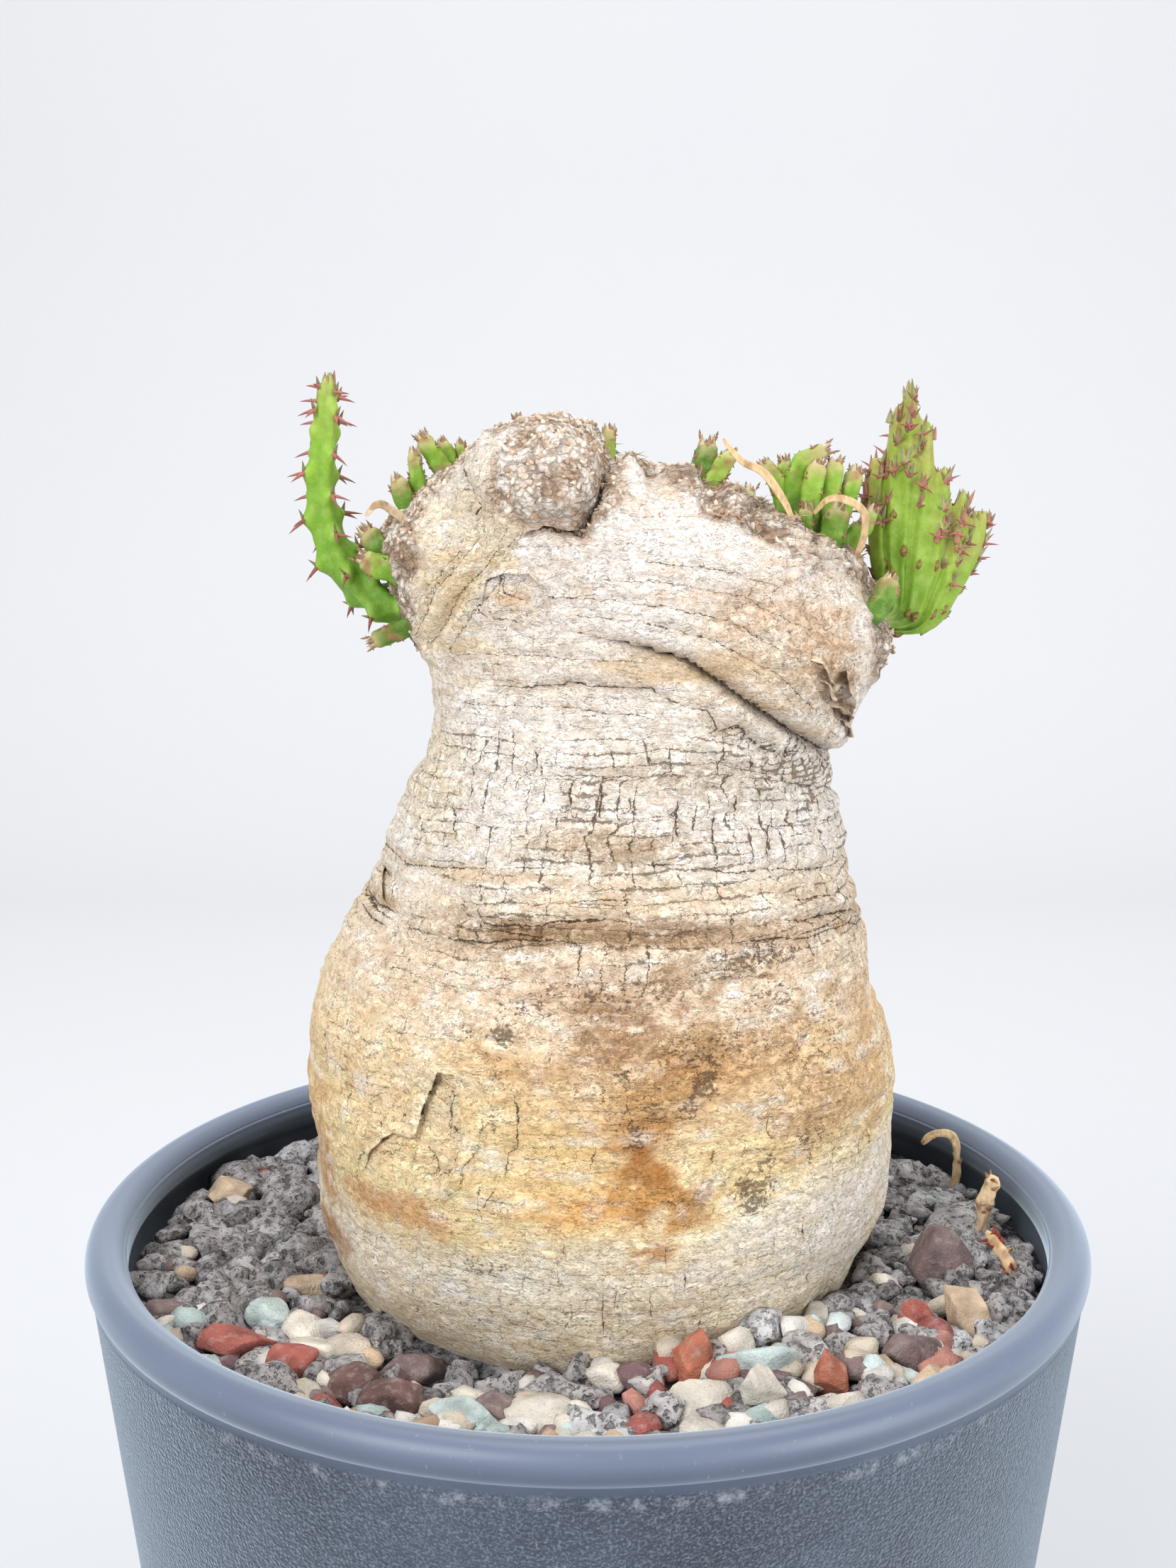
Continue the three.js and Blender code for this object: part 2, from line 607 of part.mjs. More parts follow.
// Grey lava lumps of the top dressing, dropped one after another where they find room.
function scatterLumps() {
  const random = seededRandom(20241);
  const lumps = pebbles.map(({ at, half }) => ({
    x: at[0],
    y: at[1],
    radius: Math.max(half[0], half[1]),
    rise: 0,
  }));
  const named = lumps.length;
  for (let attempt = 0; attempt < 2600; attempt++) {
    const around = random() * 2 * Math.PI;
    const out = 36 + 30.5 * Math.sqrt(random());
    const radius = 2.1 + 2.6 * random() ** 1.4;
    const rise = 1.3 + 1.6 * random();
    const x = out * Math.cos(around);
    const y = out * Math.sin(around);
    const inPot = Math.hypot(x, y) + radius < 68.5;
    const offTrunk = Math.hypot((x - 2) / 39, y / 38) > 1 + radius / 60;
    const clear = lumps.every((l) => Math.hypot(l.x - x, l.y - y) > 0.86 * (l.radius + radius));
    if (inPot && offTrunk && clear) lumps.push({ x, y, radius, rise });
  }
  return lumps.slice(named);
}
const lumps = scatterLumps();

// Height of the bed with its lumps: each lump is a blunt dome.
function bedTop(x, y) {
  let top = bedLevel(x, y);
  for (const lump of lumps) {
    const d2 = ((x - lump.x) ** 2 + (y - lump.y) ** 2) / lump.radius ** 2;
    if (d2 >= 1) continue;
    top = Math.max(top, bedLevel(lump.x, lump.y) - 0.6 + (lump.rise + 0.9) * Math.sqrt(1 - d2));
  }
  return top;
}

// The gravel layer: relief on top, a flat underside on the soil, and a side that follows the pot.
function gravelBed(outerRadiusAt) {
  const bottom = soilTop + gap;
  const skirt = 3; // rings of the sphere that make the side and the underside
  return wrapSphere(bedAround, bedRings + skirt, (turn, share) => {
    const ring = Math.round(share * (bedRings + skirt));
    const c = Math.cos(turn);
    const s = Math.sin(turn);
    if (ring === 0) return new THREE.Vector3(0, 0, bottom);
    if (ring === 1) return new THREE.Vector3(30 * c, 30 * s, bottom);
    if (ring === 2) return new THREE.Vector3(outerRadiusAt(bottom) * c, outerRadiusAt(bottom) * s, bottom);
    if (ring === bedRings + skirt) return new THREE.Vector3(0, 0, rimZ - 8);
    const inward = (ring - 3) / (bedRings - 1);
    const outer = outerRadiusAt(rimZ - 8);
    const r = outer - (outer - 30) * inward;
    return new THREE.Vector3(r * c, r * s, bedTop(r * c, r * s));
  });
}

// A rounded stone with a few flattened faces.
function pebbleSolid(spec, margin = 0) {
  const geometry = new THREE.IcosahedronGeometry(1, 1);
  const position = geometry.attributes.position;
  const [halfX, halfY, halfZ] = spec.half;
  const seed = spec.at[0] * 3.7 + spec.at[1] * 1.3;
  for (let i = 0; i < position.count; i++) {
    const p = new THREE.Vector3().fromBufferAttribute(position, i).normalize();
    const sideDents = 0.07 * Math.sin(3 * p.x + seed) * Math.cos(4 * p.y - seed);
    const dent = sideDents + 0.05 * Math.sin(5 * p.z + 2 * seed);
    const reach = [halfX, halfY, halfZ].map((half) => half * (1 + dent) + margin);
    position.setXYZ(i, p.x * reach[0], p.y * reach[1], p.z * reach[2]);
  }
  geometry.rotateZ(THREE.MathUtils.degToRad(spec.turn));
  const [x, y] = spec.at;
  geometry.translate(x, y, bedLevel(x, y) + pebbleSink * halfZ + 0.6);
  return solidOf(geometry);
}

// The pot: a lathed shell with a rounded rim and a raised foot ring, with drain holes through its floor.
function potSolid() {
  const bodyTop = rimZ - rimBand;
  const profile = new THREE.Path();
  profile.moveTo(0, footHeight);
  profile.lineTo(footRadius - footRingWidth - 1, footHeight);
  profile.lineTo(footRadius - footRingWidth, 0);
  profile.lineTo(footRadius - 1.2, 0);
  profile.lineTo(footRadius + 0.2, 1.6);
  profile.lineTo(bodyTopRadius - 0.2, bodyTop - 0.4);
  profile.lineTo(bodyTopRadius + 0.5, bodyTop + 0.3);
  profile.quadraticCurveTo(rimOuterRadius, rimZ - 2.6, rimOuterRadius, rimZ - 1.2);
  profile.quadraticCurveTo(rimOuterRadius - 0.1, rimZ + rimCrownRise, rimCrownRadius, rimZ + rimCrownRise);
  profile.quadraticCurveTo(rimInnerRadius + 0.2, rimZ + rimCrownRise - 0.1, rimInnerRadius, rimZ);
  profile.lineTo(rimInnerRadius, rimZ - 2.5);
  profile.lineTo(potInnerRadius(rimZ - 6), rimZ - 6);
  profile.lineTo(potInnerRadius(footHeight + floorThickness), footHeight + floorThickness);
  profile.lineTo(0, footHeight + floorThickness);
  const points = profile.getPoints(3);
  const lathe = new THREE.LatheGeometry(points, potSides).rotateX(Math.PI / 2);
  let pot = solidOf(lathe);
  if (pot.volume() < 0) pot = solidOf(flipped(lathe));
  for (let i = 0; i <= drainCount; i++) {
    const around = (i / drainCount) * 2 * Math.PI;
    const out = i === drainCount ? 0 : drainRing;
    const drain = new THREE.CylinderGeometry(drainRadius, drainRadius, 12, 12).rotateX(Math.PI / 2);
    drain.translate(out * Math.cos(around), out * Math.sin(around), footHeight + floorThickness / 2);
    pot = pot.subtract(solidOf(drain));
  }
  return pot;
}

// The potting mix: a plug that fills the pot below the gravel.
function soilSolid() {
  const low = footHeight + floorThickness + gap;
  const high = soilTop;
  const top = potInnerRadius(high) - gap;
  const foot = potInnerRadius(low) - gap;
  const outline = [[0, low], [foot, low], [top, high], [0, high]].map(([r, z]) => new THREE.Vector2(r, z));
  const lathe = new THREE.LatheGeometry(outline, potSides).rotateX(Math.PI / 2);
  const soil = solidOf(lathe);
  return soil.volume() < 0 ? solidOf(flipped(lathe)) : soil;
}

// Assembly.
const plant = new THREE.Group();
function addPart(name, solid, material) {
  const mesh = new THREE.Mesh(geometryOf(largestPiece(solid)), material);
  mesh.name = name;
  plant.add(mesh);
}

const caudex = caudexSolid();
const caudexSocket = caudexSolid(gap);
addPart("pot", potSolid(), finishes.pot);
addPart("soil", soilSolid().subtract(caudexSocket), finishes.soil);

let bed = gravelBed((z) => potInnerRadius(z) - gap).subtract(caudexSocket);
for (const pebble of pebbles) {
  bed = bed.subtract(pebbleSolid(pebble, gap));
  addPart(pebble.name, pebbleSolid(pebble).subtract(caudexSocket), finishes[pebble.colour]);
}
for (const twig of twigs) {
  bed = bed.subtract(stripSolid(twig, gap));
  addPart(twig.name, stripSolid(twig), finishes.dry);
}
addPart("gravel", bed, finishes.gravel);
addPart("caudex", caudex, finishes.caudex);

// Shoots are trimmed where they leave the caudex, and neighbours keep their clearance.
const tall = wasm.Manifold.union([shootSolid(tallShoot), ...spinesOn(tallShoot)]);
addPart(tallShoot.name, tall.subtract(caudexSocket), finishes.shoot);

const fanSpecs = fanColumns.map((column) => ({ ...fanShape, ...column }));
const fan = wasm.Manifold.union(fanSpecs.flatMap((spec) => [shootSolid(spec), ...spinesOn(spec)]));
addPart("shoot_fan_right", fan.subtract(caudexSocket), finishes.shoot);

const sockets = [tallShoot, ...fanSpecs].map((spec) => shootSolid(spec, gap));
for (const cluster of stubClusters) {
  const stubs = cluster.stubs.map((stub) => ({ ...stubShape, ...stub }));
  const body = wasm.Manifold.union(stubs.map((stub) => shootSolid(stub)));
  addPart(cluster.name, body.subtract(wasm.Manifold.union([caudexSocket, ...sockets])), finishes.shoot);
  sockets.push(...stubs.map((stub) => shootSolid(stub, gap)));
}
const taken = wasm.Manifold.union([caudexSocket, ...sockets]);
for (const strip of dryStrips) addPart(strip.name, stripSolid(strip).subtract(taken), finishes.dry);

export default plant;
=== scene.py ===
# Looks of the potted crested euphorbia: caudex bark, green shoots, gravel, pot, floor, light and camera.
import math

import bmesh
import bpy
import numpy as np
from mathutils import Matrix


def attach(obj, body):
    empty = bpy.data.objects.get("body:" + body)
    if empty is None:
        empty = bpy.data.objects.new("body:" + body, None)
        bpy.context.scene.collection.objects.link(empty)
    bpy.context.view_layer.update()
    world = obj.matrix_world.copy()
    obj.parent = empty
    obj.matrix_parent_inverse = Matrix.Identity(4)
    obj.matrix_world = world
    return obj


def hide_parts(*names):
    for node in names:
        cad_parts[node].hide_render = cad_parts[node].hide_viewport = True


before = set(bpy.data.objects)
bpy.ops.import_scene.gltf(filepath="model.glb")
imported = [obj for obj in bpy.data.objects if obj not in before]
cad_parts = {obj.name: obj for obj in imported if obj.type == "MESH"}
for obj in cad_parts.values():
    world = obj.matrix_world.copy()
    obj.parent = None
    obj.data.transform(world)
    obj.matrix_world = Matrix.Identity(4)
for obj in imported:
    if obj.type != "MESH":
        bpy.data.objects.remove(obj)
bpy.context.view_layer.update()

mm = 0.001  # shapes are worked out in millimetres
rimZ = 132.0  # height of the rim's inner edge, which the plant's heights are counted from
fullTurn = 2 * math.pi
print("frame loaded:", len(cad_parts), "nodes")


# Noise: each corner of a lattice has a repeatable number, worked out from its place.
def cornerNumber(i, j, k, seed):
    mixed = (i * 374761393 + j * 668265263 + k * 974634221 + seed * 362437) & 0xFFFFFFFF
    mixed = ((mixed ^ (mixed >> 13)) * 1274126177) & 0xFFFFFFFF
    return ((mixed ^ (mixed >> 16)) & 0xFFFFFF) / 0xFFFFFF


# Value noise from -1 to 1: the numbers at the eight corners round a point, blended with a smooth step.
def cloud(points, size, seed=0):
    place = points / size
    cell = np.floor(place).astype(np.int64)
    t = place - cell
    t = t * t * (3 - 2 * t)
    total = 0
    for corner in range(8):
        step = np.array([corner & 1, (corner >> 1) & 1, (corner >> 2) & 1])
        share = np.prod(np.where(step == 1, t, 1 - t), axis=-1)
        total = total + share * cornerNumber(*np.moveaxis(cell + step, -1, 0), seed)
    return 2 * total - 1


# A sum of ever finer and weaker noise.
def clouds(points, size, octaves=4, seed=0):
    return sum(cloud(points + 7.7 * n, size / 2**n, seed + n) * 0.5**n for n in range(octaves)) / 1.5


# Distance to the nearest of points strewn one to a lattice cell, in cell sizes.
def cellDistance(points, size, seed=0):
    place = points / size
    cell = np.floor(place).astype(np.int64)
    near = np.full(place.shape[:-1], 9.0)
    for n in range(27):
        corner = cell + np.array([n % 3 - 1, n // 3 % 3 - 1, n // 9 - 1])
        offsets = [cornerNumber(*np.moveaxis(corner, -1, 0), seed + axis) for axis in range(3)]
        spot = corner + np.stack(offsets, -1)
        near = np.minimum(near, np.linalg.norm(place - spot, axis=-1))
    return near


def bell(x):  # 1 at 0, falling off alike to both sides
    return np.exp(-x * x)


def ease(low, high, x):  # 0 below low, 1 above high, smooth between
    t = np.clip((x - low) / (high - low), 0, 1)
    return t * t * (3 - 2 * t)


def roundEnd(x):  # a quarter circle: 1 at 0, falling to 0 at 1
    return np.sqrt(np.clip(1 - np.clip(x, 0, 1) ** 2, 0, 1))


def unit(vectors):  # the same directions with length 1
    return vectors / np.linalg.norm(vectors, axis=-1, keepdims=True)


def turnsOf(count):  # even angles round a full turn
    return np.arange(count) / count * fullTurn


def tone(red, green, blue):  # a screen colour, 0 to 255, as linear light
    screen = np.array([red, green, blue]) / 255
    return np.where(screen <= 0.04045, screen / 12.92, ((screen + 0.055) / 1.055) ** 2.4)


def blend(under, over, share):  # colours at points, mixed by a share at each point
    return under + (np.asarray(over) - under) * np.asarray(np.clip(share, 0, 1))[..., None]


# Colours laid over each other: each layer is a screen colour and its share at each point.
def painted(shade, *layers):
    for colour, share in layers:
        shade = blend(shade, tone(*colour), share)
    return shade


def allOver(count, colour):  # the same screen colour at every point
    return np.tile(tone(*colour), (count, 1))


# Smooth curve through rows of numbers: the first number is where, the rest are the values there.
def curveThrough(rows, at):
    rows = np.asarray(rows, float)
    i = np.clip(np.searchsorted(rows[:, 0], at, side="left") - 1, 0, len(rows) - 2)
    here, after = rows[i], rows[i + 1]
    before, beyond = rows[np.maximum(i - 1, 0)], rows[np.minimum(i + 2, len(rows) - 1)]
    span = (after - here)[:, :1]
    t = np.clip((np.asarray(at)[:, None] - here[:, :1]) / span, 0, 1)
    slopeHere = (after - before)[:, 1:] / (after - before)[:, :1] * span
    slopeNext = (beyond - here)[:, 1:] / (beyond - here)[:, :1] * span
    rise = (after - here)[:, 1:] * t * t * (3 - 2 * t)
    return here[:, 1:] + rise + t * (1 - t) * ((1 - t) * slopeHere - t * slopeNext)


# Distance from points to a drawn line, their side of it (1 is above or left) and their share of its length.
def distanceToLine(line, x, z):
    line = np.asarray(line, float)
    lengths = np.linalg.norm(np.diff(line, axis=0), axis=1)
    run = np.concatenate([[0], np.cumsum(lengths)]) / lengths.sum()
    best = np.full(x.shape, 1e9)
    side = np.ones(x.shape)
    share = np.zeros(x.shape)
    for i, (a, b) in enumerate(zip(line[:-1], line[1:])):
        dx, dz = b - a
        t = np.clip(((x - a[0]) * dx + (z - a[1]) * dz) / (dx * dx + dz * dz), 0, 1)
        distance = np.hypot(x - a[0] - t * dx, z - a[1] - t * dz)
        closer = distance < best
        best = np.where(closer, distance, best)
        side = np.where(closer, np.sign(dx * (z - a[1]) - dz * (x - a[0])), side)
        share = np.where(closer, run[i] + t * (run[i + 1] - run[i]), share)
    return best, side, share


def runAlong(line):  # length of a line from its start to each of its points
    return np.concatenate([[0], np.cumsum(np.linalg.norm(np.diff(line, axis=0), axis=1))])


# A smooth path through points of x, y and height, sampled at shares of its length: the places there, the
# directions ahead and to two sides, and the whole length.
def pathThrough(points, shares):
    given = np.array(points, float) + [0, 0, rimZ]
    given = np.vstack([2 * given[0] - given[1], given, 2 * given[-1] - given[-2]])
    t = np.linspace(0, len(points) - 1 - 1e-6, 80 * (len(points) - 1))
    i = t.astype(int)
    u = (t - i)[:, None]
    a, b, c, d = given[i], given[i + 1], given[i + 2], given[i + 3]
    dense = b + 0.5 * u * ((c - a) + u * (2 * a - 5 * b + 4 * c - d) + u * u * (3 * b - a - 3 * c + d))
    run = runAlong(dense)
    slope = np.gradient(dense, axis=0)
    at = np.asarray(shares) * run[-1]
    middle, ahead = [
        np.stack([np.interp(at, run, way[:, n]) for n in range(3)], -1) for way in (dense, slope)]
    ahead = unit(ahead)
    side = unit(np.cross(ahead, [0, 1, 0]))
    return middle, ahead, side, np.cross(side, ahead), run[-1]


# Faces between rings of points. A tube's ends close on two extra points, numbered last; a hoop has no ends.
def ringFaces(rings, around, hoop=False):
    first = np.arange(rings)[:, None] * around
    following = np.roll(first, -1, axis=0)
    step = np.arange(around)
    after = (step + 1) % around
    quads = np.stack([first + step, first + after, following + after, following + step], -1)
    if hoop:
        return [quads.reshape(-1, 4)]
    top = (rings - 1) * around
    foot = np.stack([np.full(around, rings * around), after, step], -1)
    head = np.stack([np.full(around, rings * around + 1), top + step, top + after], -1)
    return [quads[:-1].reshape(-1, 4), np.vstack([foot, head])]


# Faces of a two-sided sheet: rows and columns of points for one side, then the other, joined at the rim.
def sheetFaces(rows, columns):
    shift = rows * columns
    index = np.arange(shift).reshape(rows, columns)
    border = np.concatenate([index[0, :-1], index[:-1, -1], index[-1, :0:-1], index[:0:-1, 0]])
    after = np.roll(border, -1)
    sheet = np.stack([index[:-1, :-1], index[:-1, 1:], index[1:, 1:], index[1:, :-1]], -1).reshape(-1, 4)
    edge = np.stack([after, border, border + shift, after + shift], -1)
    return [np.vstack([sheet, sheet[:, ::-1] + shift, edge])]


# Several shapes as one: each is its points, its faces and its values at the points.
def joined(shapes):
    count = 0
    faces = []
    for points, shapeFaces, _ in shapes:
        faces += [face + count for face in shapeFaces]
        count += len(points)
    values = {key: np.concatenate([shape[2][key] for shape in shapes]) for key in shapes[0][2]}
    return np.vstack([shape[0] for shape in shapes]), faces, values


def placed(name, data):  # a new object in the scene
    made = bpy.data.objects.new(name, data)
    bpy.context.scene.collection.objects.link(made)
    return made


# A new mesh piece that rides on the one body. Faces that point inwards are turned round.
def addPiece(name, shape, material, replaced=()):
    points, faces, values = shape
    signed = sum(np.einsum("ij,ij->i", points[f[:, 0]], np.cross(points[f[:, n]], points[f[:, n + 1]])).sum()
                 for f in faces for n in range(1, f.shape[1] - 1))
    if signed < 0:
        faces = [f[:, ::-1] for f in faces]
    sizes = np.concatenate([np.full(len(f), f.shape[1]) for f in faces])
    corners = np.concatenate([f.ravel() for f in faces])
    mesh = bpy.data.meshes.new(name)
    mesh.vertices.add(len(points))
    mesh.vertices.foreach_set("co", (points * mm).astype(np.float32).ravel())
    mesh.loops.add(len(corners))
    mesh.loops.foreach_set("vertex_index", corners.astype(np.int32))
    mesh.polygons.add(len(sizes))
    mesh.polygons.foreach_set("loop_start", np.concatenate([[0], np.cumsum(sizes)[:-1]]).astype(np.int32))
    mesh.polygons.foreach_set("use_smooth", np.full(len(sizes), True))
    mesh.update(calc_edges=True)
    for key, value in values.items():
        if value.ndim == 1:
            mesh.attributes.new(key, "FLOAT", "POINT").data.foreach_set("value", value.astype(np.float32))
        else:
            colours = np.hstack([np.clip(value, 0, 1), np.ones((len(value), 1))]).astype(np.float32)
            mesh.attributes.new(key, "FLOAT_COLOR", "POINT").data.foreach_set("color", colours.ravel())
    mesh.materials.append(material)
    piece = placed(name, mesh)
    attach(piece, "root")
    if replaced:
        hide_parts(*replaced)
    return piece


# Node helpers. A field is an output in a finish's node tree; fields are added and multiplied by math nodes.
class Field:
    def __init__(self, socket):
        self.socket = socket
        self.tree = socket.id_data

    def __add__(self, other):
        return mathOf("ADD", self, other)

    def __mul__(self, other):
        return mathOf("MULTIPLY", self, other)


# A node whose inputs are joined to fields or set to numbers.
def addNode(tree, kind, inputs=None, **settings):
    made = tree.nodes.new(kind)
    for key, value in settings.items():
        setattr(made, key, value)
    for key, value in (inputs or {}).items():
        if isinstance(value, Field):
            tree.links.new(value.socket, made.inputs[key])
        else:
            made.inputs[key].default_value = value
    return made


def fieldOf(tree, kind, inputs=None, output=0, **settings):  # one output of a new node
    return Field(addNode(tree, kind, inputs, **settings).outputs[output])


def mathOf(operation, *terms):  # the first term is a field
    return fieldOf(terms[0].tree, "ShaderNodeMath", dict(enumerate(terms)), operation=operation)


def newFinish(name, roughness, **settings):  # a material with uniform numbers on its shader
    material = bpy.data.materials.new(name)
    material.use_nodes = True
    shader = material.node_tree.nodes["Principled BSDF"]
    shader.inputs["Roughness"].default_value = roughness
    for key, value in settings.items():
        shader.inputs[key.replace("_", " ")].default_value = value
    return material, material.node_tree


def stretched(place, scale):  # a place multiplied along its three axes
    return fieldOf(place.tree, "ShaderNodeMapping", {"Vector": place, "Scale": scale})


def placeIn(tree, scale=(1, 1, 1)):  # object coordinates in millimetres, stretched by a scale
    return stretched(fieldOf(tree, "ShaderNodeTexCoord", output="Object"), [1000 * s for s in scale])


def warped(place, scale):  # a place shifted by a slow noise
    drift = fieldOf(place.tree, "ShaderNodeTexNoise", {"Vector": place, "Scale": scale, "Detail": 2}, "Color")
    inputs = {0: drift, 1: (2.2, 2.2, 2.2), 2: place}
    return fieldOf(place.tree, "ShaderNodeVectorMath", inputs, operation="MULTIPLY_ADD")


def grain(place, scale, detail=3, roughness=0.55):  # noise from 0 to 1
    inputs = {"Vector": place, "Scale": scale, "Detail": detail, "Roughness": roughness}
    return fieldOf(place.tree, "ShaderNodeTexNoise", inputs, "Fac")


def cellMiddles(place, scale):  # distance to the nearest of strewn points
    return fieldOf(place.tree, "ShaderNodeTexVoronoi", {"Vector": place, "Scale": scale}, "Distance")


def fromTo(value, low, high, start=0, end=1):  # rescales a value, held between the two ends
    inputs = {"Value": value, "From Min": low, "From Max": high, "To Min": start, "To Max": end}
    return fieldOf(value.tree, "ShaderNodeMapRange", inputs)


def mixed(share, under, over, mode="MIX"):  # each colour is a field or linear light
    tree = (share if isinstance(share, Field) else under).tree
    under, over = [colour if isinstance(colour, Field) else (*colour, 1) for colour in (under, over)]
    return fieldOf(tree, "ShaderNodeMix", {0: share, 6: under, 7: over}, 2, data_type="RGBA", blend_type=mode,
                   clamp_result=mode == "MULTIPLY")


def layered(colour, *layers):  # each layer is its share and a field or a screen colour
    for share, over in layers:
        colour = mixed(share, colour, over if isinstance(over, Field) else tone(*over))
    return colour


def stored(tree, key, output="Fac"):  # a number or colour kept at the mesh's points
    return fieldOf(tree, "ShaderNodeAttribute", output=output, attribute_name=key)


def linked(tree, name, field):  # joins a field to an input of the finish's shader
    tree.links.new(field.socket, tree.nodes["Principled BSDF"].inputs[name])


def finished(material, colour, height, depth):  # depth of the bumps in millimetres
    tree = material.node_tree
    bump = fieldOf(tree, "ShaderNodeBump", {"Height": height, "Distance": depth * mm, "Strength": 1.0})
    linked(tree, "Base Color", colour)
    linked(tree, "Normal", bump)
    return material


# The caudex: level sections as height, left, right, front and back reach.
caudex = {
    "around": 440, "rings": 214, "buriedRings": 12, "soilLine": -14, "frontDensity": 0.42,
    "sections": [
        [-62, 1, 1, 0, 0], [-58, -4, 6, 5, 5], [-48, -9, 11, 10, 10], [-36, -16, 18, 17, 17],
        [-24, -25, 27.5, 26, 26], [-14, -32.5, 36, 33.5, 33.5], [-4, -38.7, 42, 39.5, 39.5],
        [4, -41, 44.8, 42, 42], [12, -41.7, 45.6, 43, 43], [24, -41.4, 45.3, 43, 43],
        [32, -40.9, 44.6, 42.3, 42], [38, -38.8, 42.2, 41, 40.5], [46, -34.8, 40.6, 38, 37.5],
        [54, -30.7, 38.4, 34.8, 34], [62, -28.4, 36.2, 31.5, 31], [68, -26.4, 34.6, 29.5, 29],
        [73, -23.9, 34.6, 28.5, 27.5], [78, -22.8, 37.2, 28, 26.5], [84, -22.9, 41.5, 27.8, 26],
        [88.3, -25.8, 43.6, 27.6, 25.5], [92, -27.3, 43.2, 27.4, 25], [96.5, -28.3, 41.2, 27.2, 24],
        [101, -28.7, 38.9, 27, 22.5], [104, -28.3, 34.8, 26.5, 21], [108, -25, 26, 25, 17],
        [110.4, -23, 18, 23.6, 14.5], [112, -20.6, 13.2, 22, 12], [114, -18.1, 4, 19, 7.5],
        [116.5, -14.4, 1.2, 14, 3], [118.3, -10.6, -2, 9.5, 0], [119.6, -6.6, -6.6, 4, -4],
    ],
}
foldLine = [(-3, 91.3), (0.4, 90.7), (7.3, 89.6), (12.9, 88.2), (17.6, 85.1), (22.5, 81.5), (27.7, 77.8),
            (32.8, 73.9), (36.5, 70.5)]
flakeEdge = [(-30.6, 18.6), (-29.2, 21.6), (-27.4, 24), (-25.6, 25.4), (-23.2, 25.2), (-22.4, 28.4),
             (-21.2, 32), (-19.4, 34.8), (-17.4, 34.6), (-16, 32.8)]
# Creases of the front: depth, width, rise of the lip above, its reach and how far it hangs over, the share
# of the line on which the ends fade out, darkness of the painted shade along the crease, and the line as x
# and height pairs.
frontCreases = [
    (2.4, 0.8, 2.2, 6, 0.7, 0.3, 0.18, foldLine),
    (0.9, 0.6, 0.6, 3, 0.4, 0.3, 0.15,
     [(-14, 83.5), (-8.6, 83.7), (-2.9, 84.5), (3.6, 84.2), (8.3, 84.3), (9.7, 83.3), (13, 81.5)]),
    (0.9, 0.7, 0.4, 2, 0.1, 0.3, 0.15,
     [(13, 81.6), (15.8, 80.9), (17.7, 78.2), (20.1, 78.8), (24.2, 75), (31, 73.2)]),
    (3.2, 1.2, 0.8, 2.5, 0.6, 0.2, 0.14,
     [(3.4, 115.5), (3.3, 113.7), (2.2, 111.7), (1.8, 109.4), (0.8, 107.6), (-1, 104.9), (-3.8, 105.1),
      (-5.6, 105.6), (-8.9, 103.9)]),
    (0.9, 1.5, 1.2, 3, 0, 0.2, 0, [(-7.5, 104.8), (-8.9, 103.9), (-13.7, 97.8), (-19.4, 90.7), (-22, 87)]),
    (1.6, 1.2, 0.3, 2, 0, 0.3, 0.08, [(-15.4, 110.8), (-14.2, 108.8), (-13.5, 107.2), (-15, 106)]),
    (0.5, 0.6, 0.8, 1.7, 0, 0.15, 0.11, flakeEdge),
    (0.4, 0.6, 0.8, 1.3, 0, 0.3, 0.03,
     [(-23.4, 17.2), (-21, 16.8), (-18.6, 17.6), (-16.4, 19.4), (-15.9, 22.3), (-14.4, 24.9), (-13.8, 28)]),
]
softWrinkles = [
    [(-20.6, 31), (-18.6, 29.6), (-18.4, 26)], [(-22, 24.6), (-20, 22.8), (-19.4, 20)],
    [(-20.6, 21.6), (-18, 21), (-17, 24)], [(-5, 95.8), (2, 95.6), (10, 94.8), (18, 92.6), (27, 87.6)],
    [(-2, 93.6), (7, 93), (15, 90.8), (24, 86), (31, 80)], [(2, 98.2), (10, 97.8), (20, 95.8), (29, 91)],
    [(8, 100.4), (16, 99.6), (25, 97)], [(-12, 101.8), (-17, 95.8), (-21.6, 88.6)],
    [(-14.4, 103.4), (-19.2, 97.4), (-23.4, 90)], [(-10, 99.2), (-14.6, 93.8), (-18.6, 87.6)],
    [(-17, 101.6), (-21.6, 96), (-24.6, 91)], [(-17, 87.6), (-6, 87.8), (6, 87.4)],
    [(-16, 80.6), (-4, 81.2), (8, 80.2)],
]
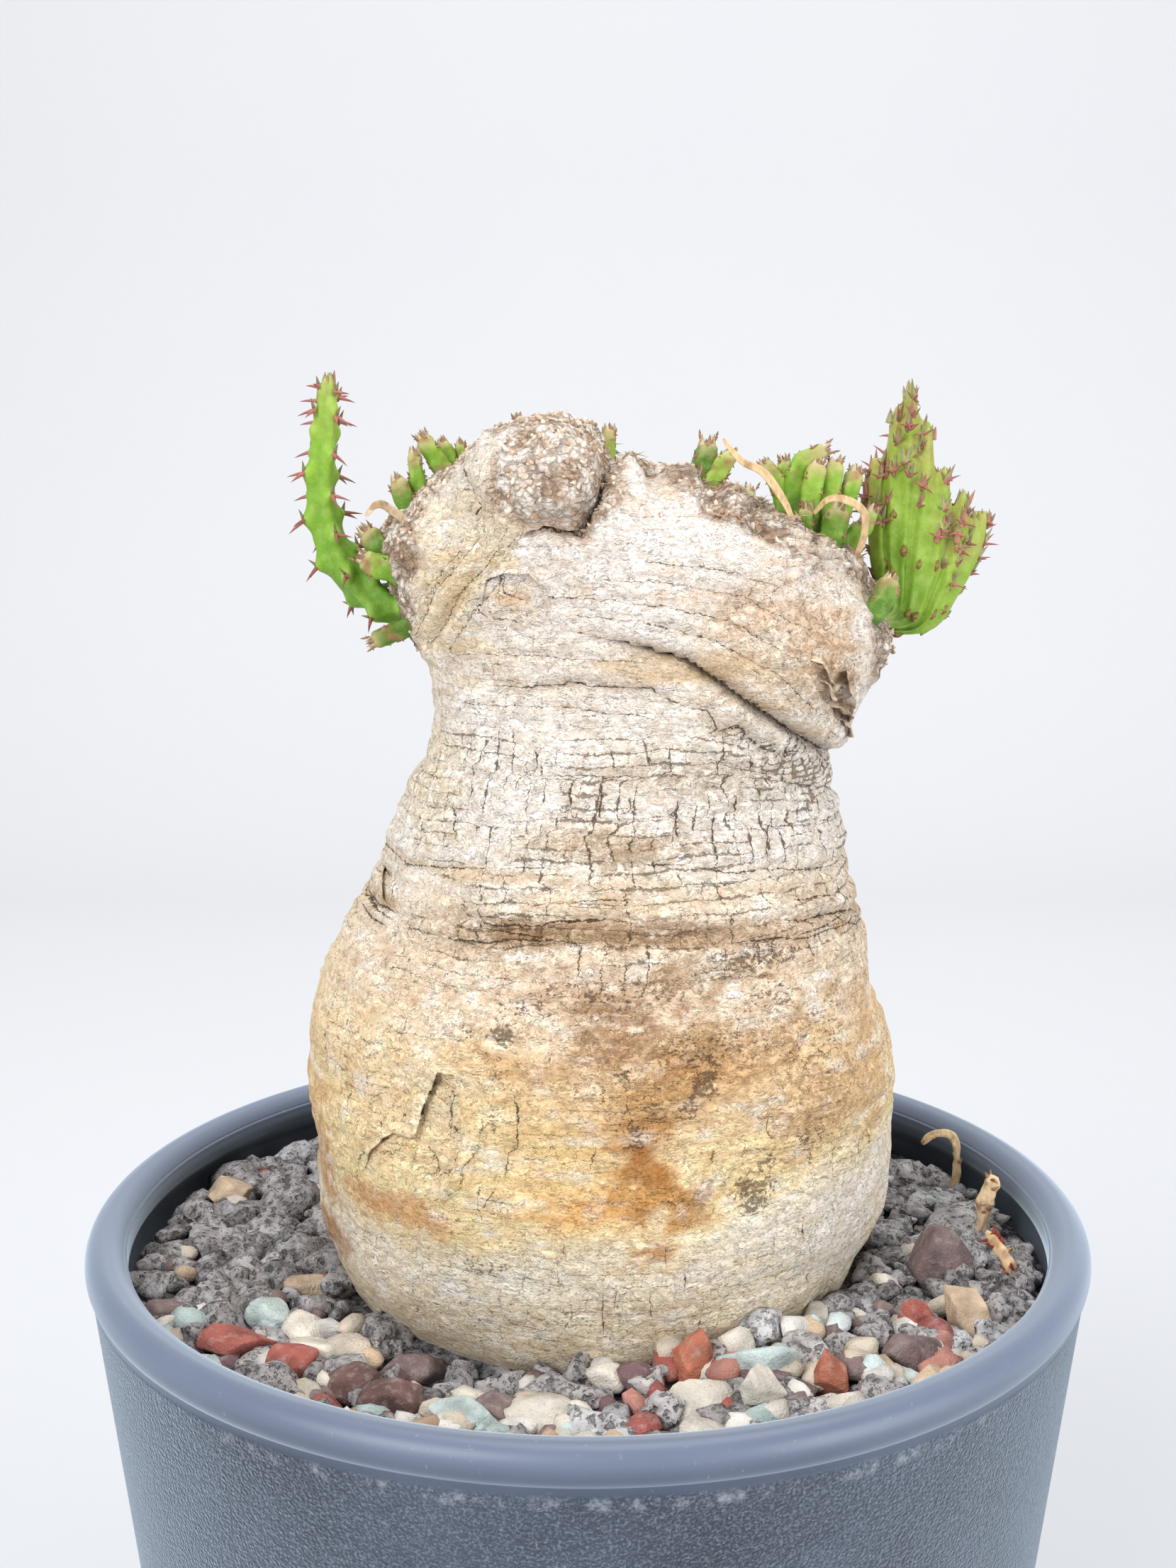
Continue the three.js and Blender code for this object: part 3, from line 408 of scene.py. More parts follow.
# Wrinkles that run right round: depth, width, height of the steps beside, darkness of the painted shade
# in them, and x and height pairs.
girdles = [
    (0.9, 0.45, 0.7, 0.2,
     [(-32, 50.8), (-19.2, 53.1), (-7.9, 52.8), (2.8, 53.8), (13.5, 52.7), (24.7, 52.7), (40, 50)]),
    (0.4, 0.4, 0.15, 0.15, [(-34, 49), (-12, 50.8), (8, 51.4), (26, 50.4), (40, 48)]),
    (0.3, 0.4, 0.1, 0.12, [(-30, 54.8), (-8, 55.4), (10, 56.6), (26, 55), (40, 52.6)]),
    (0.5, 0.7, 0.35, 0.1, [(-30, 57.5), (-16.4, 59.9), (-0.4, 60.7), (11.4, 60.8), (19.1, 59.8), (38, 57)]),
    (0.5, 0.7, 0.3, 0.08,
     [(-28, 70), (-19.7, 71.1), (-8.1, 72.2), (8.2, 72.4), (13.6, 74.6), (19.2, 72.6),
      (26.3, 70.1), (36, 66)]),
    (0.3, 1.4, 0.3, 0.03, [(-36, 43), (-21.8, 44.1), (-10.6, 45.7), (8, 47), (24.5, 46.1), (42, 43)]),
    (0.3, 0.7, 0.2, 0.04, [(-26, 78), (-6, 78.6), (10, 77.6), (34, 74)]),
    (0.3, 0.6, 0.2, 0.05, [(-28, 65), (-6, 66.4), (12, 66.9), (36, 62.5)]),
]
# Dark cracks drawn one by one: half width, then x and height pairs.
drawnCracks = [
    (0.16, [(-9.3, 31.9), (-9.0, 29.5), (-9.2, 26.2)]), (0.12, [(-10.2, 24.9), (-10.8, 22.2)]),
    (0.1, [(-12.1, 19.8), (-13.3, 17.4)]), (0.12, [(29, 12.4), (29.1, 9.9)]),
    (0.1, [(10.2, 11.4), (10.2, 9.6)]), (0.12, [(12.7, 8.2), (12.7, 5.1)]), (0.12, [(8.1, 5.6), (8.2, 2.3)]),
    (0.16, [(2, 5.2), (2, -0.1)]), (0.1, [(-3.4, 13.9), (-3.1, 11.7)]),
    (0.22, [(-2.1, 71.5), (-2.3, 69.4), (-2, 67.3)]), (0.2, [(1.7, 71.3), (1.7, 67.4)]),
    (0.14, [(-6.7, 74.9), (-6.7, 73.3)]), (0.24, [(11.7, 68.8), (11.5, 66.5), (11.7, 64.7)]),
    (0.24, [(16.7, 66.4), (16.6, 63.3)]), (0.2, [(24.7, 63.9), (24.6, 60.8)]),
    (0.2, [(19.8, 68.8), (19.8, 66.7)]), (0.16, [(5.5, 69.5), (5.5, 67.9)]),
    (0.16, [(-18.3, 66.3), (-18.2, 63.2)]), (0.26, [(28, 105), (31, 103.4), (35.4, 102.6)]),
    (0.16, [(28, 104), (31.4, 102.6), (36, 101.8)]), (0.12, [(29, 103), (32, 101.8), (36, 101)]),
    (0.1, [(-19.3, 33.4), (-17.8, 31.7), (-18.3, 28.2), (-16.9, 26.2)]),
    (0.12, [(-13.3, 97.8), (-11, 98.9), (-7.5, 98.9)]), (0.14, [(-11, 98.6), (-10.6, 96.2), (-9, 95.4)]),
    (0.1, [(-13.8, 94), (-12.4, 92.8), (-8.5, 92.3)]),
]
# Spots, here and below: x, height, half width and half height, then what each has there.
flakeBed = (-19.6, 26, 3.2, 8)
hollows = [(*flakeBed, 0.6), (-9.8, 95.6, 4.4, 3.3, 0.35), (33.8, 82.2, 1.7, 3.6, 0.7)]  # depth
crestKnots = [  # rise
    (4.8, 113.4, 2.4, 2.4, 0.8), (13.4, 111, 2.6, 2.2, 1.7), (9, 112.2, 1.3, 2.6, -1.2),
    (20, 107.6, 2.6, 1.8, 1.1),
]
headLump = (-8, 110.8, 9.5, 6.2)
headLumpRise = 3.8
stainsAndShadows = [  # colour and strength; two of them are painted shadow
    (6, 31, 8, 9, (200, 156, 100), 0.85), (6.6, 22, 6.8, 9, (180, 118, 54), 0.9),
    (7, 20.5, 3.6, 6.4, (154, 94, 38), 0.9), (-3, 24, 9, 8, (232, 190, 124), 0.6),
    (14.4, 17.6, 4.8, 2.8, (164, 114, 64), 0.85), (38, 32, 6, 10, (200, 164, 120), 0.6),
    (1, 18.4, 15, 4.6, (222, 172, 106), 0.5), (2, 45.5, 14, 3.6, (200, 170, 140), 0.65),
    (-22.8, 14.8, 5, 3.2, (206, 138, 76), 0.6), (-29.8, 14, 3.8, 4, (196, 130, 74), 0.6),
    (-2.5, 17, 6, 3.4, (216, 156, 84), 0.6), (-38.5, 14, 4, 12, (188, 128, 60), 0.6),
    (-37, 3, 3, 5, (160, 104, 48), 0.7), (4, 39, 11, 5, (176, 132, 90), 0.7),
    (21, 38, 9, 5, (190, 152, 112), 0.6), (12, 32, 11, 4.5, (192, 148, 98), 0.6),
    (-4, 33, 8, 5, (206, 166, 116), 0.4), (29.5, 94, 8, 6, (212, 182, 148), 0.6),
    (20, 96, 10, 5, (214, 186, 156), 0.7), (32, 86, 6, 7, (204, 172, 138), 0.8),
    (24, 84, 9, 5, (220, 194, 162), 0.7), (17, 91, 8, 4, (222, 200, 174), 0.7),
    # the first spot here is painted shadow under the fold's overhanging lip
    (10, 86.6, 9, 1.6, (206, 178, 134), 0.6), (2, 52, 28, 1.9, (168, 134, 92), 0.7),
    (24, 48.6, 13, 2.6, (206, 180, 152), 0.5), (2, 63.4, 9, 2.4, (200, 178, 150), 0.8),
    (-14, 58.5, 12, 1.3, (196, 164, 120), 0.55), (8, 56, 30, 2.2, (212, 188, 154), 0.5),
    (22, 70, 11, 5, (214, 204, 192), 0.4), (8, 73, 14, 3, (206, 190, 168), 0.5),
    (-22, 72, 6, 14, (236, 214, 172), 0.5), (-17, 96, 5, 9, (224, 200, 156), 0.7),
    (-13, 108, 6, 5, (232, 216, 192), 0.5), (-9.8, 95.6, 3.8, 2.8, (226, 184, 138), 0.85),
    (-2, 97, 8, 2, (222, 202, 178), 0.5), (-18, 90, 4, 4, (220, 190, 146), 0.5),
    # the first spot here is painted shadow in the hollow under the curled flakes
    (34, 81.6, 1.8, 3.4, (122, 92, 66), 0.9), (4, 58, 10, 4, (206, 186, 156), 0.5),
    (30, 27, 9, 8, (202, 168, 126), 0.75), (-30, 36, 8, 8, (240, 216, 178), 0.5),
    (-26, 24, 6, 8, (236, 208, 164), 0.5), (36, 9, 9, 7, (236, 228, 214), 0.8),
    (24, 11, 8, 4, (228, 216, 196), 0.6), (8, 3, 14, 2, (204, 188, 162), 0.4),
    (-19.4, 26, 3, 7, (246, 226, 190), 0.7), (-14, 22, 6, 4, (240, 214, 166), 0.5),
    (-8, 13, 7, 3, (238, 212, 168), 0.5), (24, 30, 7, 3, (232, 200, 160), 0.4),
]
speckClusters = [  # strength of the dark specks
    (-11, 39.8, 2.2, 1.8, 1), (15.2, 33.5, 2.4, 2, 1), (12.5, 30.4, 2.2, 1.4, 0.9),
    (5.9, 26.1, 2.2, 1.1, 0.8), (22.2, 18.8, 3, 3.2, 1), (23.8, 22.1, 1.6, 1.4, 0.9), (22, 16, 2.4, 1, 1),
    (4.6, 35.6, 3, 1.2, 0.8), (-16.5, 39.4, 2, 1.4, 0.6), (11.8, 18.1, 3.2, 1.2, 0.6),
    (-12.1, 32.3, 2.4, 5, 0.55), (7, 29.5, 6, 4, 0.6), (22, 48.4, 7, 2, 0.8), (30, 36, 5, 6, 0.5),
    (-14, 8.6, 5, 2, 0.6), (4, 45, 14, 2.4, 0.6), (-30, 6, 5, 5, 0.4), (-20, 0, 12, 6, 0.4),
    (10, 2, 16, 5, 0.35), (14, 38, 9, 3, 0.7), (29.5, 24, 3, 2, 0.7), (-6, 43, 8, 1.6, 0.6),
    (24, 43, 5, 3, 0.6),
]
brownZones = [  # strength of the brown mottling
    (4, 40, 12, 7, 0.9), (16, 47, 13, 3.6, 0.8), (20, 38, 12, 6, 0.6), (4, 52.6, 26, 2.2, 1.1),
    (-12, 50, 10, 2.5, 0.5), (10, 34, 14, 4, 0.6), (4, 62.6, 12, 3, 0.8), (20, 71, 14, 4, 0.35),
    (30, 86, 8, 8, 0.6), (20, 92, 12, 5, 0.35), (30, 30, 9, 6, 0.5), (-36, 14, 6, 10, 0.5),
    (16, 19, 8, 4, 0.5), (7, 17, 2.4, 6, 0.5), (6, 2, 20, 4, 0.25), (-16, 39, 5, 3, 0.7),
    (-20, 66, 8, 10, 0.2), (34, 50, 5, 12, 0.25),
]
# The lower edge of the golden band and the upper edge of the crest, as x and height pairs.
goldenEdge = [(-46, 9), (-37.2, 8.9), (-29.6, 8.9), (-10.1, 10), (-3.6, 12), (1.7, 9.4), (8.1, 11.4),
              (24.5, 16), (32.2, 17.8), (39, 18.6), (50, 22)]
crestEdge = [(-30, 106), (-20, 112), (-6, 119), (3, 115.5), (9, 113.5), (13, 111), (17, 107.4), (25, 103.8),
             (30, 101), (36, 99.6), (44, 96)]


def heightOf(line, x):  # height of a drawn line at each x
    return np.interp(x, *zip(*line))


def partsOf(p):  # x, y and height above the rim
    return p[:, 0], p[:, 1], p[:, 2] - rimZ


def fromSpot(p, x, height, halfWidth, halfHeight):  # distance from a spot's middle, in its half sizes
    return np.hypot((p[:, 0] - x) / halfWidth, (p[:, 2] - rimZ - height) / halfHeight)


# Heights of the rings: even along the outline, with a few below the soil and more on the crested head.
def ringHeights():
    sections = np.array(caudex["sections"])
    fine = np.linspace(caudex["soilLine"], sections[-1, 0], 4000)
    reach = curveThrough(sections, fine)
    change = np.hypot(np.diff(fine), np.abs(np.diff(reach, axis=0)).max(axis=1))
    run = np.concatenate([[0], np.cumsum(change * np.where(fine[1:] > 76, 1.25, 1))])
    seen = np.interp(np.linspace(0, run[-1], caudex["rings"] + 1)[:-1], run, fine)
    buried = np.linspace(sections[0, 0], caudex["soilLine"], caudex["buriedRings"] + 2)[1:-1]
    return np.concatenate([buried, seen])


# Share of the left lobe of the head at each point, where the fibres run aslant.
def leftLobe(p):
    x, y, height = partsOf(p)
    right = np.interp(height, [84, 87, 97.8, 104, 112], [-23, -21.5, -13.2, -8.5, -9])
    return ease(1.5, -1, x - right) * ease(83, 87, height) * ease(112, 106, height) * ease(4, -4, y)


def alongLobe(p):  # coordinates across and along the slanting fibres of the left lobe
    x, _, height = partsOf(p)
    return 0.79 * x - 0.61 * height, 0.61 * x + 0.79 * height


# Share of loose, crumbly bark at each point: the lump, the top edge of the crest and its two ends.
def crumbly(p):
    x, y, height = partsOf(p)
    edge = 0.35 * clouds(p, 5, 3, 91)
    ball = ease(1.2, 0.8, fromSpot(p, -3.4, 111.5, 7.5, 7.5) + edge) * ease(2, -4, y)
    cap = ease(112.5, 115.5, height + 2 * edge) * ease(4, 0, x)
    top = ease(-2.6, -0.8, height - heightOf(crestEdge, x) + 4 * edge)
    leftEnd = ease(-22.8, -25.5, x + 3 * edge) * ease(80, 85, height)
    rightEnd = ease(37.8, 40.5, x + 3 * edge) * ease(73, 78, height)
    return np.clip(np.maximum.reduce([0.9 * ball, cap, top, leftEnd, rightEnd]), 0, 1)


def crumbDistance(p):  # distance from the middles of the crumbs, in crumb sizes
    return cellDistance(p + 0.8 * clouds(p, 2, 2, 69)[:, None], 1.9, 71)


# The net of cracks. Rows of bark lie between level cracks, which follow the folds and slant on the left lobe.
# Each row is cut by upright cracks of its own. A crack runs where its wave crosses zero.
def barkCracks(p):
    x, y, height = partsOf(p)
    facing = np.clip(-y / 8, 0, 1)
    lobe = leftLobe(p)
    fold = heightOf(foldLine, x)
    level = height - facing * (fold - 90) * bell((height - fold - 3) / 8) * ease(-4, 4, x)
    level -= facing * 0.007 * np.clip(x - 4, 0, 40) ** 2 * bell((height - 98) / 6)
    level += 1.3 * clouds(p * [0.5, 0.5, 1], 8, 2, 151) + 0.45 * clouds(p * [0.7, 0.7, 1], 2.4, 2, 157)
    aslant = 1.7 * alongLobe(p)[0] + 1.4 * clouds(p, 4, 3, 163)
    row = np.where(lobe > 0.5, aslant / 1.7, level / 1.8)
    across = np.sin(math.pi * row)
    number = np.floor(row).astype(np.int64)
    band = number // 4
    width = 2.5 + 1.2 * cornerNumber(band, 3, 1, 5)
    arc = np.arctan2(x - 2, -y) * 36 + 1.3 * clouds(p * [1, 1, 0.7], 3.4, 3, 167)
    column = arc / width + 7 * cornerNumber(band, 1, 2, 9) + 0.16 * cornerNumber(number, 5, 6, 3)
    nearest = np.round(column).astype(np.int64)
    chance = 0.55 * cornerNumber(band, nearest, 4, 15) + 0.45 * cornerNumber(number, nearest, 8, 17)
    # Zones of the bark: the share of each, and how wide its level and its upright cracks are.
    gridLeft = ease(-26, -4, x + 5 * clouds(p, 9, 2, 171))
    grid = ease(54, 61, height) * ease(79, 75, height) * (0.3 + 0.7 * gridLeft)
    zones = [
        (grid, 0.16, 0.21),
        (ease(42, 50, height) * ease(60, 54, height), 0.1, 0.13),
        (ease(76, 82, height) * (1 - lobe), 0.03, 0.02),
        (ease(16, 6, height), 0.035, 0.05),
        (ease(10, 18, height) * ease(46, 38, height), 0.03, 0.06),
        (lobe, 0.03, 0),
    ]
    wide = sum(zone * level for zone, level, _ in zones)
    tall = sum(zone * upright for zone, _, upright in zones)
    patchy = np.clip(0.5 + 1.3 * clouds(p * [0.55, 0.55, 1], 3.4, 3, 177), 0, 1)
    acrossWidth = wide * (2.2 * patchy - 0.7)
    acrossWidth = np.where(facing < 0.3, np.maximum(acrossWidth, 0.06 * (patchy - 0.3)), acrossWidth)
    tallShare = np.clip(2 * chance - 0.55, 0, 1)
    uprightWidth = tall * (1.7 * tallShare - 0.25) * (0.5 + 0.6 * np.abs(across))
    uprightWidth = uprightWidth - 0.08 * (1 - patchy) * (1 - grid)
    return {"across": across, "upright": np.sin(math.pi * column),
            "acrossWidth": np.clip(1.4 * acrossWidth, 0, 1),
            "uprightWidth": np.clip(math.pi / width * uprightWidth, 0, 1)}


def crestFurrows(p):  # share and wave of the upright pleats below the crest's edge, right of the lump
    x, y, height = partsOf(p)
    crest = np.interp(x, [3, 9, 17, 25, 30], [115, 113, 108.8, 106, 103.5])
    share = np.clip(-y / 8, 0, 1) * ease(-6, -1.5, height - crest) * ease(2, 4, x) * ease(32, 27, x)
    return share, clouds(np.stack([x, 0 * x, 0.16 * height], -1), 2.1, 2, 65)


# How far each point of the skin moves out and down: waves, creases, girdles, flakes, lump and crumbs.
def caudexRelief(p, cracks):
    x, y, height = partsOf(p)
    turn = np.arctan2(y, x)
    facing = np.clip(-y / 8, 0, 1)
    out = 0.5 * np.sin(3 * turn + height / 9) + 0.4 * np.sin(5 * turn - height / 13 + 1)
    out += 0.25 * np.sin(height / 3.1 + 2 * turn)
    down = np.zeros(len(p))
    wander = 0.9 * clouds(p, 9, 3, 5)
    uneven = 0.55 + 0.9 * np.clip(0.5 + clouds(p, 12, 2, 11), 0, 1)
    for depth, width, step, _, line in girdles:
        away = height - (heightOf(line, x) + wander)
        out -= depth * uneven * bell(away / width)
        out += step * (bell((away - 1.6) / 1.4) + 0.6 * bell((away + 1.5) / 1.2))
    for depth, width, lip, reach, over, fade, _, line in frontCreases:
        distance, side, share = distanceToLine(line, x + 0.4 * wander, height + 0.3 * wander)
        if line is foldLine:  # it runs off the edge of the head at full depth
            strength = facing * np.clip(share / fade, 0, 1)
        else:
            strength = facing * np.clip(np.minimum(share, 1 - share) / fade, 0, 1) ** 0.7
        above = side > 0
        out -= strength * depth * bell(distance / width)
        out += strength * above * lip * bell((distance - 0.3 * reach) / reach)
        down += strength * above * over * np.exp(-distance / (0.5 * reach))
    for line in softWrinkles:
        distance, _, share = distanceToLine(line, x + 0.5 * wander, height + 0.5 * wander)
        strength = facing * np.clip(np.minimum(share, 1 - share) / 0.3, 0, 1)
        out += strength * (0.45 * bell((distance - 0.9) / 0.8) - 0.6 * bell(distance / 0.5))
    out += facing * headLumpRise * bell(fromSpot(p, *headLump) ** 2)
    for *spot, depth in hollows:
        away = fromSpot(p, *spot) + 0.25 * clouds(p, 3, 3, 21)
        out -= facing * depth * ease(1.06, 0.94, away)
        out += facing * 0.4 * bell((away - 1.12) / 0.12)
    # Rows and bricks of bark, fibres that follow the fold, and finer unevenness.
    rows = np.abs(cracks["across"]) ** 0.6 - 0.7
    out += 0.24 * rows * ease(0.0, 0.2, cracks["acrossWidth"]) + 0.06 * rows
    bricks = np.abs(cracks["upright"]) ** 0.5 - 0.8
    out += 0.2 * bricks * ease(0.0, 0.2, cracks["uprightWidth"])
    folded = height - facing * (heightOf(foldLine, x) - 90) * bell((height - 92) / 9) * ease(-4, 4, x)
    strands = np.stack([0.22 * x, 0.22 * y, 1.3 * folded], -1)
    fibres = 1 - 2 * np.abs(clouds(strands, 1.7, 3, 41)) + 0.5 * clouds(strands, 3.4, 2, 43)
    out += 0.34 * fibres * ease(12, 20, height) * ease(108, 98, height)
    out += 0.26 * clouds(p, 3.4, 4, 51) + 0.5 * clouds(p * [0.6, 0.6, 1.2], 6, 3, 55)
    acrossLobe, upLobe = alongLobe(p)
    out += 0.9 * leftLobe(p) * clouds(np.stack([acrossLobe, y, 0.2 * upLobe], -1), 1.9, 3, 61)
    furrowed, wave = crestFurrows(p)
    out += 1.7 * furrowed * wave
    for *spot, rise in crestKnots:
        out += facing * rise * bell(fromSpot(p, *spot))
    fineCrumbs = cellDistance(p + 3, 1.05, 75)
    crumbs = 0.7 * (0.5 - crumbDistance(p)) + 0.45 * (0.5 - fineCrumbs) + 0.9 * clouds(p, 2.4, 4, 81)
    out += crumbly(p) * crumbs
    end = np.clip(np.minimum((119.6 - height) / 1.5 + 0.15, (height + 62) / 20), 0, 1)
    return out * end, down * end


# Drawn cracks, wrinkles, creases and girdles: distance to the nearest, signed by its side, and its width.
# The cracks are dark of their own; along the wrinkles, creases and girdles the dark line is painted shade.
def drawnLines(p):
    x, y, height = partsOf(p)
    drawn = np.full(len(p), 9.0)
    signed = drawn.copy()
    width = np.zeros(len(p))
    waver = 0.25 * clouds(p, 1.6, 2, 135)
    wander = 0.9 * clouds(p, 9, 3, 5)
    lines = [(0.62 * dark, line) for dark, line in drawnCracks] + [(0.045, line) for line in softWrinkles]
    lines += [(dark, line) for *_, dark, line in frontCreases if dark]
    found = []
    for dark, line in lines:
        isLong = len(line) > 5  # long lines wander with the relief and thin out at their ends
        shift = wander if isLong else 0
        distance, side, share = distanceToLine(line, x + waver + 0.4 * shift, height + waver + 0.3 * shift)
        distance = distance + 9 * (y > -3)
        narrow = np.clip(np.minimum(share, 1 - share) / 0.25 + 0.1, 0, 1) if isLong else 1
        found.append((distance, distance * side, dark * narrow))
    patchy = np.clip(0.45 + 1.1 * clouds(p * [0.5, 0.5, 1], 6, 3, 141), 0, 1)
    for *_, dark, line in girdles:
        away = height - heightOf(line, x) - wander + 0.3 * waver
        found.append((np.abs(away), away, dark * np.minimum(2.6 * (patchy - 0.15), 0.85)))
    for distance, away, own in found:
        closer = distance < drawn
        drawn = np.where(closer, distance, drawn)
        signed = np.where(closer, away, signed)
        width = np.where(closer, own, width)
    return {"drawn": np.clip(drawn, 0, 9), "signed": np.clip(signed, -9, 9),
            "drawnWidth": np.clip(width, 0, 1)}


# Colour and the finish's guides at each point of the bark.
def caudexTones(p, cracks):
    x, y, height = partsOf(p)
    facing = np.clip(0.5 - y / 8, 0, 1)
    rough = clouds(p, 7, 4, 101)
    fine = clouds(p * [0.7, 0.7, 1.3], 2.2, 4, 111)
    streak = clouds(p * [0.16, 0.16, 1], 1.5, 4, 113)
    golden = heightOf(goldenEdge, x) + 5 * rough + 3 * fine
    shade = painted(  # bands from the gravel up to the head
        allOver(len(p), (222, 206, 178)),
        ((244, 230, 204), ease(-3, 5, height + 3 * rough)),
        ((248, 218, 166), 0.95 * ease(-3, 3, height - golden)),
        ((234, 204, 160), ease(22, 32, height + 6 * rough)),
        ((231, 208, 180), ease(34, 44, height + 6 * rough)),
        ((236, 218, 196), ease(46, 54, height + 4 * rough)),
        ((239, 229, 215), ease(54, 62, height + 5 * fine)),
        ((238, 225, 209), ease(78, 84, height + 3 * rough)),
        ((238, 228, 217), ease(90, 97, height + 4 * rough + 2 * fine)),
        ((236, 216, 186), 0.8 * leftLobe(p)))
    for *spot, colour, strength in stainsAndShadows:
        away = fromSpot(p, *spot) + 0.45 * rough + 0.6 * fine + 0.85 * streak
        shade = blend(shade, tone(*colour), strength * ease(1.3, 0.3, away) * (0.35 + 0.65 * facing))
    contrast = 0.42 + 0.38 * ease(20, 36, height) * ease(56, 48, height) * ease(-16, 0, x)
    shade = blend(shade, shade * [0.66, 0.58, 0.48], contrast * ease(0.12, 0.75, fine + 0.5 * streak))
    ends = np.maximum.reduce([ease(36, 40, x), ease(-23, -26, x), ease(4, 8, x) * ease(98, 102, height)])
    crumble = crumbly(p)
    crumbTone = painted(
        allOver(len(p), (240, 228, 214)),
        ((176, 146, 118), ease(0.25, 0.8, crumbDistance(p) + 0.5 * fine)),
        ((146, 122, 100), 0.75 * ends * ease(-0.3, 0.4, rough + fine + streak)))
    furrowed, wave = crestFurrows(p)
    shade = painted(
        shade,
        ((250, 244, 234), 0.5 * ease(0.1, 0.8, -fine + 0.6 * streak)),
        # darker in the furrows: brown fibre there, and painted shade in the hollows
        ((190, 166, 142), 0.8 * furrowed * ease(0.1, -0.4, wave)))
    shade = blend(shade, crumbTone, 0.85 * crumble)
    shade = blend(shade, tone(238, 212, 172), 0.6 * ease(1.1, 0.7, facing * fromSpot(p, *flakeBed)) * facing)
    back = ease(0.25, 0.6, clouds(p, 11, 3, 131)) * ease(8, 30, height) * ease(56, 44, height)
    specks = 0.8 * back * (1 - facing)
    for *spot, strength in speckClusters:
        specks = np.maximum(specks, strength * ease(1.6, 0.3, fromSpot(p, *spot) + 0.3 * fine) * facing)
    brown = np.zeros(len(p))
    for *spot, strength in brownZones:
        share = ease(1.3, 0.2, fromSpot(p, *spot) + 0.4 * rough)
        brown = np.maximum(brown, strength * share * (0.3 + 0.7 * facing))
    return {"tone": shade, "specks": specks, "crumble": crumble, "brown": brown, **drawnLines(p), **cracks}


# The skin: each ring is made of quarter ellipses through its four reaches, and moves out by the relief.
def makeCaudexSkin():
    height = ringHeights()
    even = turnsOf(caudex["around"])
    turn = even - caudex["frontDensity"] * np.cos(even)
    left, right, front, back = curveThrough(caudex["sections"], height).T[:, :, None]
    x = (left + right) / 2 + (right - left) / 2 * np.cos(turn)
    y = np.where(np.sin(turn) < 0, front, back) * np.sin(turn)
    skin = np.stack([x, y, np.broadcast_to(rimZ + height[:, None], x.shape)], -1)
    across = np.roll(skin, -1, axis=1) - np.roll(skin, 1, axis=1)
    normal = np.cross(across, np.gradient(skin, axis=0))
    normal /= np.maximum(np.linalg.norm(normal, axis=-1, keepdims=True), 1e-9)
    flat = skin.reshape(-1, 3)
    cracks = barkCracks(flat)
    out, down = caudexRelief(flat, cracks)
    moved = flat + normal.reshape(-1, 3) * out[:, None] - np.array([0, 0, 1]) * down[:, None]
    bottom = [[1, 0, rimZ + caudex["sections"][0][0]]]
    peak = moved[-caudex["around"]:].mean(axis=0, keepdims=True) + [[0, 0, 0.3]]
    points = np.vstack([moved, bottom, peak])
    tones = caudexTones(flat, cracks)
    values = {key: np.concatenate([value, value[:1], value[-1:]]) for key, value in tones.items()}
    return points, ringFaces(len(height), caudex["around"]), values


